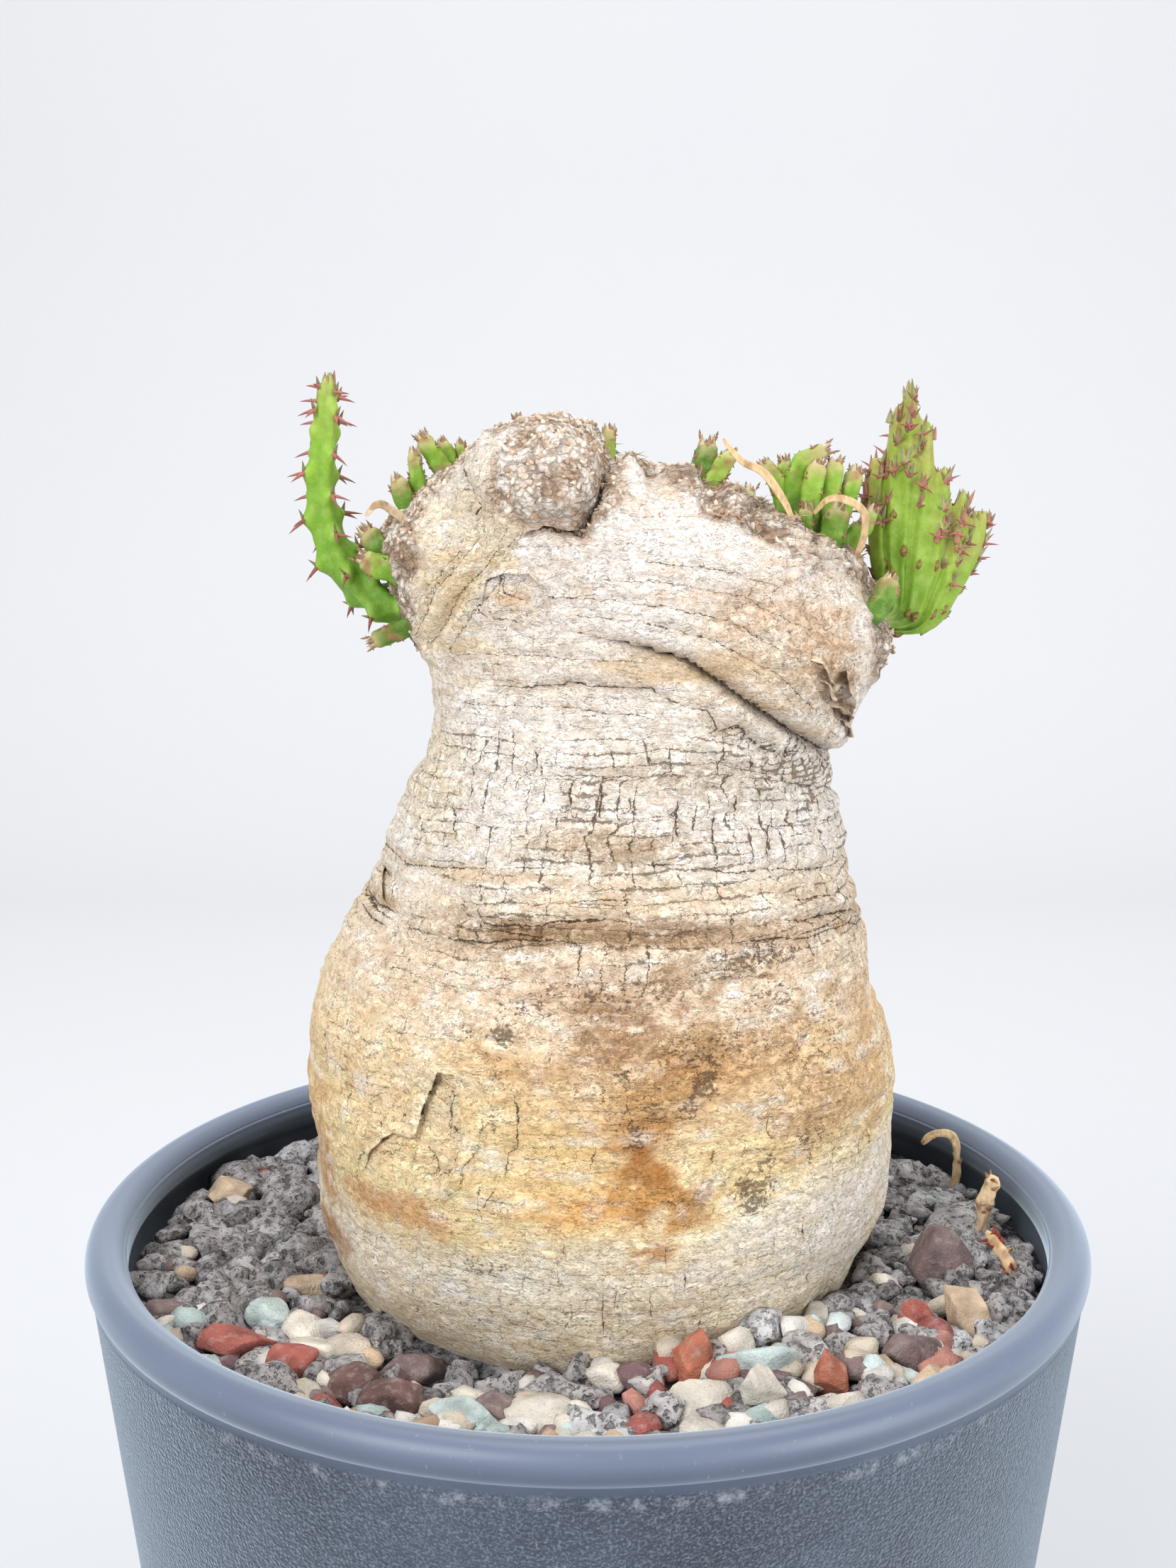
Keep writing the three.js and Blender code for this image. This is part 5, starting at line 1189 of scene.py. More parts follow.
def fanPlace(stem, along):  # middle points at stem positions from 0 to 6 and shares of their length
    stems = curveThrough(fanTable, np.clip(stem, 0, fan["last"])).reshape(len(stem), -1, 3)
    return np.array([[np.interp(a, fanShares, way[:, n]) for n in range(3)] for a, way in zip(along, stems)])


def fanSide(stem, share):  # how far the body bulges past the outer stems' middle lines
    return np.maximum(0, np.maximum(-stem, stem - fan["last"])) * (1.0 + 2.3 * ease(0.05, 0.5, share))


def betweenStems(key, stem):  # the value of the gap that a stem position lies in
    return np.array(fan[key])[np.clip(stem, 0, fan["last"] - 0.001).astype(int)]


# Half thickness of the fan: round stems with grooves between, thinner at the sides and the tips.
def fanBody(stem, share):
    frac = np.abs(stem - np.round(stem))
    own = betweenStems("grooves", stem)
    own = own + (0.6 - own) * ease(0.68, 0.95, share) * (own < 0.6)
    ribs = 1 - 0.46 * own * ease(0.02, 0.3, share) * (1 - np.cos(math.pi * frac) ** 2)
    sides = roundEnd(np.maximum(-stem, stem - fan["last"]) / fan["edge"])
    ends = roundEnd((share - 0.86) / 0.14) * roundEnd((0.06 - share) / 0.06)
    return fan["thick"] * ribs * sides * ends * (1 - 0.42 * ease(0.55, 1, share))


def fanTop(stem):  # how far up the paths the body reaches at each stem position
    return 1 - betweenStems("gaps", stem) * np.sin(math.pi * (np.clip(stem, 0, fan["last"] - 0.001) % 1)) ** 2


# A two-sided sheet over stem position and share of length, as thick as the body, with a bump at each spot.
def makeFan(groups):
    stem = np.linspace(-fan["edge"], fan["last"] + fan["edge"], fan["across"])
    shares = np.linspace(0.002, 1, fan["along"])
    grid = np.array([fanPlace(stem, np.clip(s * fanTop(stem), 0, 1)) for s in shares])
    grid[..., 0] += np.sign(stem - fan["middle"]) * fanSide(stem, shares[:, None])
    thick = np.array([fanBody(stem, s) for s in shares])
    sheets = []
    for face in (-1, 1):
        sheet = grid.copy()
        bump = np.zeros(thick.shape)
        for (gx, _, gz), toward in groups:
            if toward == face:
                bump = np.maximum(bump, bell(np.hypot(grid[..., 0] - gx, 0.75 * (grid[..., 2] - gz)) / 0.9))
        sheet[..., 1] += face * (thick + 0.55 * bump * ease(0, 0.5, thick)) + 0.12 * clouds(grid, 2.2, 3, 41)
        sheets.append(sheet.reshape(-1, 3))
    points = np.concatenate(sheets)
    share = np.tile(np.repeat(shares, len(stem)), 2)
    frac, own = [np.tile(value, 2 * len(shares)) for value in (
        np.abs(stem - np.round(stem)), betweenStems("grooves", stem) ** 2)]
    rough = clouds(points, 2.5, 3, 47)
    shade = painted(
        allOver(len(points), stemTones["low"]),
        ((136, 166, 54), ease(0.15, 0.6, share + 0.2 * rough)),
        ((150, 174, 66), ease(0.6, 0.95, share + 0.1 * rough)),
        ((186, 206, 132), 0.6 * ease(0.3, 0.0, share + 0.2 * rough)),
        # a painted highlight beside each groove and a painted shade in it
        ((190, 204, 112), 0.35 * ease(0.12, 0.0, np.abs(frac - 0.4)) * own),
        ((96, 140, 36), 0.5 * ease(0.42, 0.5, frac) * own),
        ((176, 128, 92), ease(0.72, 1.0, share + 0.25 * rough) * 0.4))
    return points, sheetFaces(*thick.shape), {"tone": shade}


# Where the fan's spines stand: few and far apart on the body, crowded below the tips and along both sides.
# Each spot is a stem position, a share of the stem, its face (0 for the sides), and if it is crowded.
def fanGroups():
    rng = np.random.default_rng(77)
    spots = []
    for number in range(len(fan["stems"])):
        length = fan["tallestLength" if number == fan["tallest"] else "length"]
        low = np.arange(0.2 + 0.1 * (number % 3), 0.6, fan["apart"] / length)
        high = np.arange(0.66, 0.99, fan["crowdedApart"] / length)
        for face in (-1, 1):
            for share in np.concatenate([low + 0.08 * (face + 1), high]):
                crowded = share > 0.64
                stem = number + rng.normal(0, 0.28 if crowded else 0.12)
                spots.append((stem, share + rng.normal(0, 0.015), face, crowded))
    for share in (0.3, 0.44, 0.58, 0.68, 0.76, 0.84, 0.92):
        spots.append((6.42, share, 0, share > 0.6))
        spots.append((-0.42, share * 0.9 + 0.1, 0, share > 0.6))
    return spots


def fanAhead(stem, low, high):  # the place at the lower share of a stem and the direction to the higher one
    start, end = [fanPlace(stem, share)[0] for share in (low, high)]
    return start, end, (end - start) / max(np.linalg.norm(end - start), 1e-6)


# Spine groups, hooks and blades stand out from the body at the spots, and a tuft rings each stem's tip.
def makeFanSpines(spots):
    rng = np.random.default_rng(78)
    shapes = []
    marks = []
    for stem, share, face, crowded in spots:
        at = np.array([np.clip(stem, -fan["edge"], fan["last"] + fan["edge"])])
        along = np.array([share * fanTop(at)[0]])
        place, _, ahead = fanAhead(at, along, along + 0.02)
        fromMiddle = stem - fan["middle"]
        place = place + [np.sign(fromMiddle) * fanSide(stem, share), 0, 0]
        if face:
            out = np.array([0.25 * fromMiddle / 3, face, 0.1])
            foot = place + [0, face * (fanBody(at, share)[0] + 0.42), 0]
            marks.append((tuple(place), face))
        else:
            out = np.array([math.copysign(1, fromMiddle), rng.uniform(-0.5, 0.3), 0.1])
            foot = place + out * [0.15, 0, 0]
        out = unit(out + (rng.uniform(0.3, 1.6) * ahead if crowded else 0))
        size = rng.uniform(*fan["crowdedSpines" if crowded else "spines"])
        lean = ahead + rng.normal(0, 0.5 if crowded else 0.1, 3)
        width, fresh = (0.3, 1.0) if crowded else (0.2, 0.1)
        shapes += spineGroup(foot, out, lean, size, width, fresh, rng, 0.9)
        if not crowded:
            pad = (0.3, rng.uniform(0.4, 0.6), rng.uniform(0.6, 0.9))
            shapes.append(makePad(foot - 0.1 * out, (out, np.cross(ahead, out), ahead), pad, (128, 82, 50)))
            hook = ((140, 176, 62), (122, 74, 44))
            shapes.append(makeSpike(foot - 0.3 * out, out + 0.5 * ahead, 0.9, 0.6, 0.5 * ahead, hook))
        for _ in range(2 * crowded):
            shades = tuftShades[rng.integers(3)]
            aim = ahead + out * rng.uniform(-0.1, 0.6) + rng.normal(0, 0.2, 3)
            size = rng.uniform(1.4, 3.2)
            shapes.append(makeSpike(foot - out * 0.3, aim, size, 0.46, out * 0.3, shades, 0.4, 8))
    for number in range(len(fan["stems"])):
        _, tip, ahead = fanAhead(np.array([number]), [0.9], [0.96])
        side = np.cross(ahead, [0, 1, 0])
        long = fan["tallestTuft" if number == fan["tallest"] else "tuft"]
        across = np.cross(side, ahead)
        shapes += makeTuft(tip, ahead, side, across, 0.7, 7, long, 0.42, tuftShades, 80 + number, 0.45)
    return shapes, marks


greenSkin = shootFinish()
spineHorn = grainyFinish(
    "spineHorn", 0.5, 0.4, (1, 1, 1), 2.5, 3, 0.55, (0.45, 0.75, 0.4, (146, 92, 76)), 0.05)
addPiece("tallShoot", makeStem(tallShoot, 3), greenSkin, ["shoot_tall_left"])
tallTuft = tuftOn(tallShoot, *tallShoot["tuft"], tuftShades, 5, 0.15)
addPiece("tallShootSpines", joined(makeSpines(tallShoot, 4) + tallTuft), spineHorn)
spineShapes, spineMarks = makeFanSpines(fanGroups())
addPiece("fanShoots", makeFan(spineMarks), greenSkin, ["shoot_fan_right"])
addPiece("fanSpines", joined(spineShapes), spineHorn)
for number, (node, stubs) in enumerate(stubClusters.items()):
    stems, trims = [], []
    for n, (points, radius, fresh) in enumerate(stubs):
        stub = dict(stubShape, points=points, radius=radius)
        stems.append(makeStem(stub, 60 + 3 * number + n, fresh))
        seed = 5 * number + n
        trims += makeSpines(stub, 90 + seed)
        trims += tuftOn(stub, 6, 0.9 + 0.6 * radius, 0.5, budShades, 150 + seed, 0.25)
    addPiece(node.replace("_", ""), joined(stems), greenSkin, [node])
    addPiece(node.replace("_", "") + "Trim", joined(trims), spineHorn)
print("shoots:", 2 + len(stubClusters), "groups")


# Dried leaves and twigs: strips with a curled section, pointed at their free ends. Knots are places along
# them with sizes, scraps are places with how many, how long and their colour.
dryStrips = {
    "dry_leaf_mid": {"width": 1.15, "thick": 0.35, "shade": (226, 196, 150), "points": [
        (18.4, -12.6, 116.4), (21, -13, 113.4), (24.4, -13.4, 111.4), (28, -12, 105.4), (27.6, -9, 100)]},
    "dry_leaf_right": {"width": 1.2, "thick": 0.35, "shade": (218, 186, 142), "points": [
        (31, -12.4, 106.2), (33, -13.4, 108.2), (35.6, -13.6, 108), (37.8, -13, 106.4), (38.2, -11, 103.4),
        (37.4, -8, 99)]},
    "dry_leaf_left": {"width": 1.2, "thick": 0.45, "shade": (222, 200, 166), "points": [
        (-23, -7.5, 103), (-27.4, -8, 106.6), (-29.4, -8.4, 107.4), (-31.2, -8.6, 105.8)]},
    "twig_hooked": {"width": 1.5, "thick": 1.0, "shade": (216, 190, 150), "points": [
        (61, 24, -10), (61.4, 24, -2), (60.6, 24, 2.4), (57.6, 24, 3), (55.6, 24, 1.2)],
        "knots": [(0.94, 0.25)], "scraps": [(0.5, 2, 1.9, (190, 158, 112)), (0.95, 2, 0.9, (176, 128, 84))]},
    "twig_gnarled": {"width": 1.9, "thick": 1.3, "shade": (232, 204, 166), "points": [
        (61.2, 4, -10), (61.6, 4, -4), (62, 4, 0), (63.4, 4, 3.6)],
        "knots": [(0.5, 0.25), (0.68, 0.6), (0.8, 0.35), (0.93, 0.75)],
        "scraps": [(0.93, 5, 1.3, (178, 138, 110)), (0.68, 5, 1.0, (228, 204, 170)),
                   (0.55, 3, 0.9, (150, 110, 80))]},
    "twig_red": {"width": 1.5, "thick": 1.1, "shade": (224, 190, 152), "points": [
        (62, -12, -10), (62.4, -12, -4.5), (61, -11, -1.5), (59.4, -9, 0.2)],
        "knots": [(0.5, 0.35), (0.7, 0.4), (0.88, 0.5)],
        "scraps": [(0.86, 12, 1.2, (138, 56, 46)), (0.62, 7, 1.2, (206, 152, 104)),
                   (0.45, 4, 1.1, (146, 66, 52))]},
}


# Rings along the path: a flat oval that rolls from side to side, thinner at the ends and wider at the knots.
def makeStrip(strip, seed):
    rings, around = 60, 16
    width = strip["width"]
    shares = np.linspace(0.004, 0.996, rings)
    turn = turnsOf(around)
    middle, ahead, side, over, _ = pathThrough(strip["points"], shares)
    full = np.clip(0.35 + 3.2 * shares * (1 - shares), 0, 1)
    for share, size in strip.get("knots", ()):
        full += size * bell((shares - share) / 0.07)
    full = full[:, None]
    wide = width / 2 * full * np.sin(turn)
    thin = strip["thick"] / 2 * full * np.cos(turn) + 0.3 * full * np.abs(np.sin(turn)) * width / 2
    roll = (0.5 * np.sin(4 * shares + seed) + 0.25 * np.sin(11 * shares))[:, None]
    face = side * np.cos(roll) + over * np.sin(roll)
    depth = over * np.cos(roll) - side * np.sin(roll)
    points = middle[:, None] + face[:, None] * wide[..., None] - depth[:, None] * thin[..., None]
    points = points.reshape(-1, 3)
    points += (0.3 * clouds(points, 1.6, 3, seed))[:, None] * np.repeat(depth + 0.4 * face, around, axis=0)
    points = np.vstack([points, middle[0], middle[-1]])
    stained = ease(0.1, 0.6, clouds(points, 1.8, 3, seed + 1)) * 0.6
    shade = painted(allOver(len(points), strip["shade"]), ((150, 112, 76), stained))
    shapes = [(points, ringFaces(rings, around), {"tone": shade})]
    rng = np.random.default_rng(seed)
    for share, count, length, colour in strip.get("scraps", ()):  # torn ends and short side twigs
        for _ in range(count):
            at = int(np.clip(share + rng.normal(0, 0.06), 0.4, 0.97) * (rings - 1))
            angle = rng.uniform(0, fullTurn)
            out = face[at] * math.cos(angle) + depth[at] * math.sin(angle)
            aim = out + rng.uniform(0, 1.4) * ahead[at]
            foot = middle[at] + 0.4 * width * full[at] * out
            size = length * rng.uniform(0.7, 1)
            shapes.append(makeSpike(foot, aim, size, 0.42, rng.normal(0, 0.25, 3), (colour, colour), 0.6))
    return joined(shapes)


for number, (node, strip) in enumerate(dryStrips.items()):
    addPiece(node.replace("_", ""), makeStrip(strip, 200 + number), dryMaterial, [node])
print("dry strips:", len(dryStrips))


# The gravel. Its lumps are scattered by the same draw as in the solid bed. Each named pebble has its place,
# its half sizes, its turn in degrees and its family of colours.
pebbles = {
    "pebble_red_left": ((-48, -33.5), (4.4, 3, 2.6), 10, "terracotta"),
    "pebble_red_small": ((-39.6, -38.4), (2.9, 2.2, 2.2), -20, "terracotta"),
    "pebble_maroon_left": ((-24, -48.5), (4.1, 3, 2.8), -12, "maroon"),
    "pebble_maroon_round": ((-31, -43.6), (2.6, 2.4, 2.4), 30, "maroon"),
    "pebble_green_left": ((-45, -22.4), (3.1, 2.4, 2.3), -25, "mint"),
    "pebble_tan_back": ((-59, 19.5), (4.1, 3, 2.8), 15, "sand"),
    "pebble_mint_front": ((-16.6, -53), (3.2, 2.2, 1.9), 8, "mint"),
    "pebble_orange_mid": ((13, -43.5), (2.3, 2, 3), 14, "orange"),
    "pebble_mint_big": ((22, -45.5), (4, 2.2, 2.7), -8, "mint"),
    "pebble_cream_big": ((22.4, -52), (2.9, 2.3, 3.4), 12, "cream"),
    "pebble_orange_right": ((31, -48), (2.2, 1.9, 3.1), -24, "orange"),
    "pebble_purple": ((42.6, -40), (3.7, 2.7, 2.6), 6, "mauve"),
    "pebble_red_right": ((45.4, -29.6), (2.2, 1.9, 3.1), 20, "terracotta"),
    "pebble_tan_right": ((53.4, -27), (3.7, 3, 3.6), -30, "sand"),
    "pebble_round_grey": ((51.6, -8.6), (4.3, 4, 3.9), 0, "mauve"),
    "pebble_pink_front": ((14.4, -60), (3.1, 2.1, 2.6), 4, "cream"),
}
stoneTones = {
    "terracotta": [(182, 104, 92), (172, 98, 90), (204, 144, 130)],
    "orange": [(206, 126, 98), (214, 148, 122)],
    "maroon": [(124, 94, 90), (116, 88, 88)], "mint": [(208, 224, 221), (196, 216, 212), (220, 232, 230)],
    "cream": [(238, 230, 216), (246, 242, 234), (228, 214, 194)], "sand": [(220, 194, 164), (206, 176, 148)],
    "mauve": [(142, 122, 120), (132, 104, 108)],
    "lava": [(166, 161, 160), (148, 143, 142), (126, 121, 121), (188, 186, 187)],
}
# Forms of stones: fineness of the ball, number of flat faces, sharpness of edges, roughness, depth of pores.
stoneForms = {
    "lavaFront": (4, 10, 40, 0.13, 0.26), "lavaBack": (3, 10, 40, 0.13, 0.26),
    "pebblesBetween": (4, 9, 50, 0.08, 0),
    "gritLava": (2, 8, 30, 0.1, 0), "gritPebbles": (2, 8, 30, 0.1, 0), "named": (5, 10, 60, 0.08, 0),
    "rounded": (5, 10, 9, 0.08, 0),
}
# Swells of the bed are x, y, half sizes and rise; the trunk is its x and half sizes. Reach, radius and rise
# each are a least value and the range above it. Coloured is the share at the front edge, in front, behind.
gravel = {
    "wall": 68.5, "level": -7.4, "swells": [(24, -38, 26, 18, 4.2), (-18, -40, 14, 9, -2.6)],
    "trunk": (2, 39, 38), "seed": 20241, "lookSeed": 11, "coloured": (0.42, 0.16, 0.05),
    "lavaShares": [0.4, 0.3, 0.12, 0.18], "apart": 0.86,
    "tries": 2600, "reach": (36, 30.5), "radius": (2.1, 2.6), "rise": (1.3, 1.6),
    "gritTries": 1500, "gritReach": (35, 32.5), "gritSizes": (0.9, 2.1),
    "families": ["cream", "sand", "cream", "mauve", "cream", "terracotta", "mint"],
    "gritFamilies": ["cream", "cream", "cream", "cream", "sand", "mint", "terracotta", "mauve"],
    # the bed's dark grey is painted shade, seen in the gaps between the stones
    "bed": {"rings": 26, "around": 240, "outer": 69.8, "inner": 30, "under": -19.6, "shade": (88, 86, 90)},
}


def bedLevel(x, y):  # height of the gravel: level, with a bell-shaped mound and dip
    level = rimZ + gravel["level"]
    for middleX, middleY, halfX, halfY, rise in gravel["swells"]:
        level = level + rise * bell(np.hypot((x - middleX) / halfX, (y - middleY) / halfY))
    return level


def fromTrunk(x, y):  # 1 on the oval that the trunk fills, more outside it
    middle, halfX, halfY = gravel["trunk"]
    return np.hypot((x - middle) / halfX, y / halfY)


def ranged(key, share):  # the least value of the gravel's range, and a share of the range above it
    least, span = gravel[key]
    return least + span * share


def seededRandom(state):  # numbers from 0 to 1, each worked out from the one before
    while True:
        state = (state * 1664525 + 1013904223) & 0xFFFFFFFF
        yield state / 4294967296


# Lumps as x, y, radius and rise. A try is kept if it lies in the pot, off the trunk and clear of the others.
def scatterLumps():
    draw = seededRandom(gravel["seed"])
    spots = [(x, y, max(half[:2]), 0) for (x, y), half, _, _ in pebbles.values()]
    for _ in range(gravel["tries"]):
        around = next(draw) * fullTurn
        out = ranged("reach", math.sqrt(next(draw)))
        radius = ranged("radius", next(draw) ** 1.4)
        rise = ranged("rise", next(draw))
        x, y = out * math.cos(around), out * math.sin(around)
        inPot = math.hypot(x, y) + radius < gravel["wall"]
        clear = all(math.hypot(l[0] - x, l[1] - y) > gravel["apart"] * (l[2] + radius) for l in spots)
        if inPot and clear and fromTrunk(x, y) > 1 + radius / 60:
            spots.append((x, y, radius, rise))
    return np.array(spots[len(pebbles):])


def ballOf(level):  # a ball of triangles, as unit directions and faces
    ball = bmesh.new()
    bmesh.ops.create_icosphere(ball, subdivisions=level, radius=1)
    points = np.array([v.co[:] for v in ball.verts])
    faces = np.array([[v.index for v in f.verts] for f in ball.faces])
    ball.free()
    return unit(points), faces


# Stones as rounded solids of random flat faces: each direction reaches the nearest of the planes, softened.
def makeStones(places, halves, turns, form, shades, rng):
    level, planes, sharpness, rough, pitted = stoneForms[form]
    ball, faces = ballOf(level)
    shapes = []
    for place, half, turn, shade in zip(places, halves, turns, shades):
        normals = unit(rng.normal(size=(planes, 3)))
        depths = rng.uniform(0.6, 1.0, planes)
        facing = np.clip(ball @ normals.T, 0, None) / depths
        reach = 1 / np.maximum((facing**sharpness).sum(axis=1) ** (1 / sharpness), 0.75)
        offset = rng.uniform(0, 90, 3)
        stone = ball * reach[:, None] * half
        reach = 1 + rough * clouds(stone + offset, 0.7 * half.min() + 0.6, 3, 7)
        if pitted:
            shift = np.stack([0.7 * cloud(stone + offset, 1.1, 21 + axis) for axis in range(3)], -1)
            reach -= pitted * ease(0.46, 0.16, cellDistance(stone + offset + shift, 2.1, 9))
        c, s = math.cos(turn), math.sin(turn)
        stone = (stone * reach[:, None]) @ np.array([[c, s, 0], [-s, c, 0], [0, 0, 1]])
        darker = ([0.72 * v for v in shade], 0.5 + 0.8 * clouds(stone + offset, 2.4, 3, 13))
        shapes.append((place + stone, [faces], {"tone": painted(allOver(len(ball), shade), darker)}))
    return joined(shapes)


def lavaFinish():  # painted shade in pores at the middles of coarse and fine cells; paler between them; dust
    material, tree = newFinish("lavaGrit", 0.95, Specular_IOR_Level=0.2)
    place = placeIn(tree)
    bent = warped(place, 1.2)
    coarse = cellMiddles(bent, 0.62)
    patchy = grain(place, 0.3, 2)
    pores = fromTo(coarse, 0.42, 0.2) * fromTo(patchy, 0.42, 0.52)
    finePores = fromTo(cellMiddles(bent, 1.3), 0.38, 0.18) * fromTo(patchy, 0.56, 0.46)
    dust = grain(place, 0.9, 5, 0.7)
    colour = layered(
        stored(tree, "tone", "Color"),
        (fromTo(dust, 0.48, 0.68, 0, 0.35), (214, 213, 216)),
        (fromTo(dust, 0.44, 0.3, 0, 0.22), (92, 91, 96)),
        # the pores' dark grey is painted shade
        (pores * 0.6, (66, 64, 68)),
        (finePores * 0.4, (80, 78, 82)),
        (fromTo(coarse, 0.6, 0.85, 0, 0.4), (200, 199, 203)))
    return finished(material, colour, dust * 0.7 + pores * -1 + finePores * -0.6, 0.95)


def pebbleFinish():  # pale clouds and dark flecks
    material, tree = newFinish("pebbleSkin", 0.82, Specular_IOR_Level=0.3)
    place = placeIn(tree)
    cloudy = grain(place, 0.7, 5, 0.65)
    fleck = grain(place, 2.8, 3)
    colour = layered(
        stored(tree, "tone", "Color"),
        (fromTo(cloudy, 0.5, 0.72, 0, 0.22), (236, 226, 218)),
        (fromTo(fleck, 0.6, 0.72, 0, 0.35), (96, 72, 62)))
    return finished(material, colour, cloudy * 0.6 + fleck * 0.6, 0.42)


# Lumps, grit and named pebbles are stones that sit at the gravel's height. Gives the lava's finish.
def makeGravel():
    rng = np.random.default_rng(gravel["lookSeed"])
    lava, skin = lavaFinish(), pebbleFinish()
    spots = scatterLumps()
    x, y, radius, rise = spots.T
    halves = np.stack([radius * 1.12, radius * rng.uniform(0.85, 1.1, len(x)), radius * 0.85], -1)
    halves *= 1 + 0.3 * ((x < -15) & (y > -25))[:, None]
    places = np.stack([x, y, bedLevel(x, y) + 0.3 + rise - halves[:, 2]], -1)
    turns = rng.uniform(0, math.pi, len(x))
    *front, behind = gravel["coloured"]
    coloured = rng.random(len(x)) < np.select([y < -44, y < -20], front, behind)
    nearFront = (y < -18) & ~coloured
    shades = np.array(stoneTones["lava"])[rng.choice(4, len(x), p=gravel["lavaShares"])]
    # painted light and shade: the lava is made lighter towards the front and darker behind
    shades = shades * np.interp(y, [-45, -10], [1.24, 1.08])[:, None]
    for name, chosen in (("lavaFront", nearFront), ("lavaBack", ~nearFront & ~coloured)):
        stones = makeStones(places[chosen], halves[chosen] * 1.12, turns[chosen], name, shades[chosen], rng)
        addPiece(name, stones, lava, ["gravel"])
    shades = [stoneTones[family][0] for family in rng.choice(gravel["families"], coloured.sum())]
    stones = makeStones(
        places[coloured], halves[coloured] * 0.98, turns[coloured], "pebblesBetween", shades, rng)
    addPiece("pebblesBetween", stones, skin, ["gravel"])
    print("gravel lumps:", len(spots))

    # Small grit in the gaps: as many as land on free ground, more of it coloured at the front.
    around = rng.uniform(0, fullTurn, gravel["gritTries"])
    out = ranged("gritReach", np.sqrt(rng.random(gravel["gritTries"])))
    x, y = out * np.cos(around), out * np.sin(around)
    size = rng.uniform(*gravel["gritSizes"], len(x)) * np.where(y < -25, 1.15, 1)
    others = np.vstack([spots[:, :3], [(px, py, max(half[:2])) for (px, py), half, _, _ in pebbles.values()]])
    apart = np.hypot(x[:, None] - others[:, 0], y[:, None] - others[:, 1]) - others[:, 2]
    free = (apart.min(axis=1) > -0.35 * size) & (fromTrunk(x, y) > 1.02) & (out + size < gravel["wall"])
    x, y, size = x[free], y[free], size[free]
    places = np.stack([x, y, bedLevel(x, y) + rng.uniform(0.1, 1.4, len(x))], -1)
    halves = np.stack([size * 1.2, size, size * 0.8], -1)
    isLava = rng.random(len(x)) < np.where(y < -22, 0.3, 0.9)
    for name, chosen, finish, slot, families in (
            ("gritLava", isLava, lava, "gravel", ["lava"]),
            ("gritPebbles", ~isLava, skin, "pebble_cream", gravel["gritFamilies"])):
        options = [stoneTones[family] for family in rng.choice(families, chosen.sum())]
        shades = [option[rng.integers(len(option))] for option in options]
        turns = rng.uniform(0, math.pi, chosen.sum())
        stones = makeStones(places[chosen], halves[chosen], turns, name, shades, rng)
        addPiece(name, stones, finish, ["gravel"])
    print("grit:", len(x))
    for node, ((px, py), half, turn, family) in pebbles.items():
        half = np.array(half)
        place = np.array([[px, py, bedLevel(px, py) + 0.35 * half[2] + 0.6]])
        form = "rounded" if family in ("maroon", "mauve") else "named"
        stone = makeStones(place, [half * 1.12], [math.radians(turn)], form, stoneTones[family][:1], rng)
        addPiece(node.replace("_", ""), stone, skin, [node])
    print("named pebbles:", len(pebbles))
    return lava


# The bed under the stones: a lumpy sheet from the trunk to the pot's wall, closed below.
def makeBed(lava):
    bed = gravel["bed"]
    turn = turnsOf(bed["around"])
    radius = np.linspace(bed["outer"], bed["inner"], bed["rings"])[:, None]
    x, y = radius * np.cos(turn), radius * np.sin(turn)
    top = np.stack([x, y, bedLevel(x, y) - 1.2], -1)
    top[..., 2] += 0.9 * clouds(top, 3.5, 3, 17)
    under = top[::-1].copy()
    under[..., 2] = rimZ + bed["under"]
    outwards = np.hypot(under[..., 0], under[..., 1])
    under[..., :2] *= np.where(outwards > 68, 0.975, 1)[..., None]  # off the wall
    points = np.concatenate([top, under]).reshape(-1, 3)
    faces = ringFaces(2 * bed["rings"], bed["around"], hoop=True)
    # the bed's dark grey is painted shade, seen in the gaps between the stones
    tones = {"tone": allOver(len(points), bed["shade"])}
    addPiece("gravelBed", (points, faces, tones), lava, ["gravel"])


makeBed(makeGravel())


# The pot: a profile turned about its axis, with round drain holes cut through its floor. The arcs of the rim
# are parts of ellipses: the middle's reach and height, the half sizes, both angles in degrees and the steps.
pot = {
    "around": 192, "rimBand": 4.2, "bodyTop": 74.1, "foot": 59, "wall": 2.8, "floor": 3, "footHeight": 3,
    "footRing": 6, "drain": 4, "drainRing": 30, "drains": 6,
    "rimArcs": [(72.4, -1.1, 2.6, 2.9, -52, 90, 16), (71.9, -0.7, 2.7, 2.4, 90, 168, 10),
                (70.2, -0.4, 1.2, 0.5, 100, 200, 6)],
    # inner is painted shade; rim and rimLow are painted light and painted shade on the rim's bead
    "shade": (17, 26, 43), "inner": (12, 18, 28), "rim": (90, 100, 121), "rimLow": (48, 59, 80),
}


def arc(reach, height, halfReach, halfHeight, start, end, steps):
    angle = np.radians(np.linspace(start, end, steps))
    return np.stack([reach + halfReach * np.cos(angle), rimZ + height + halfHeight * np.sin(angle)], -1)


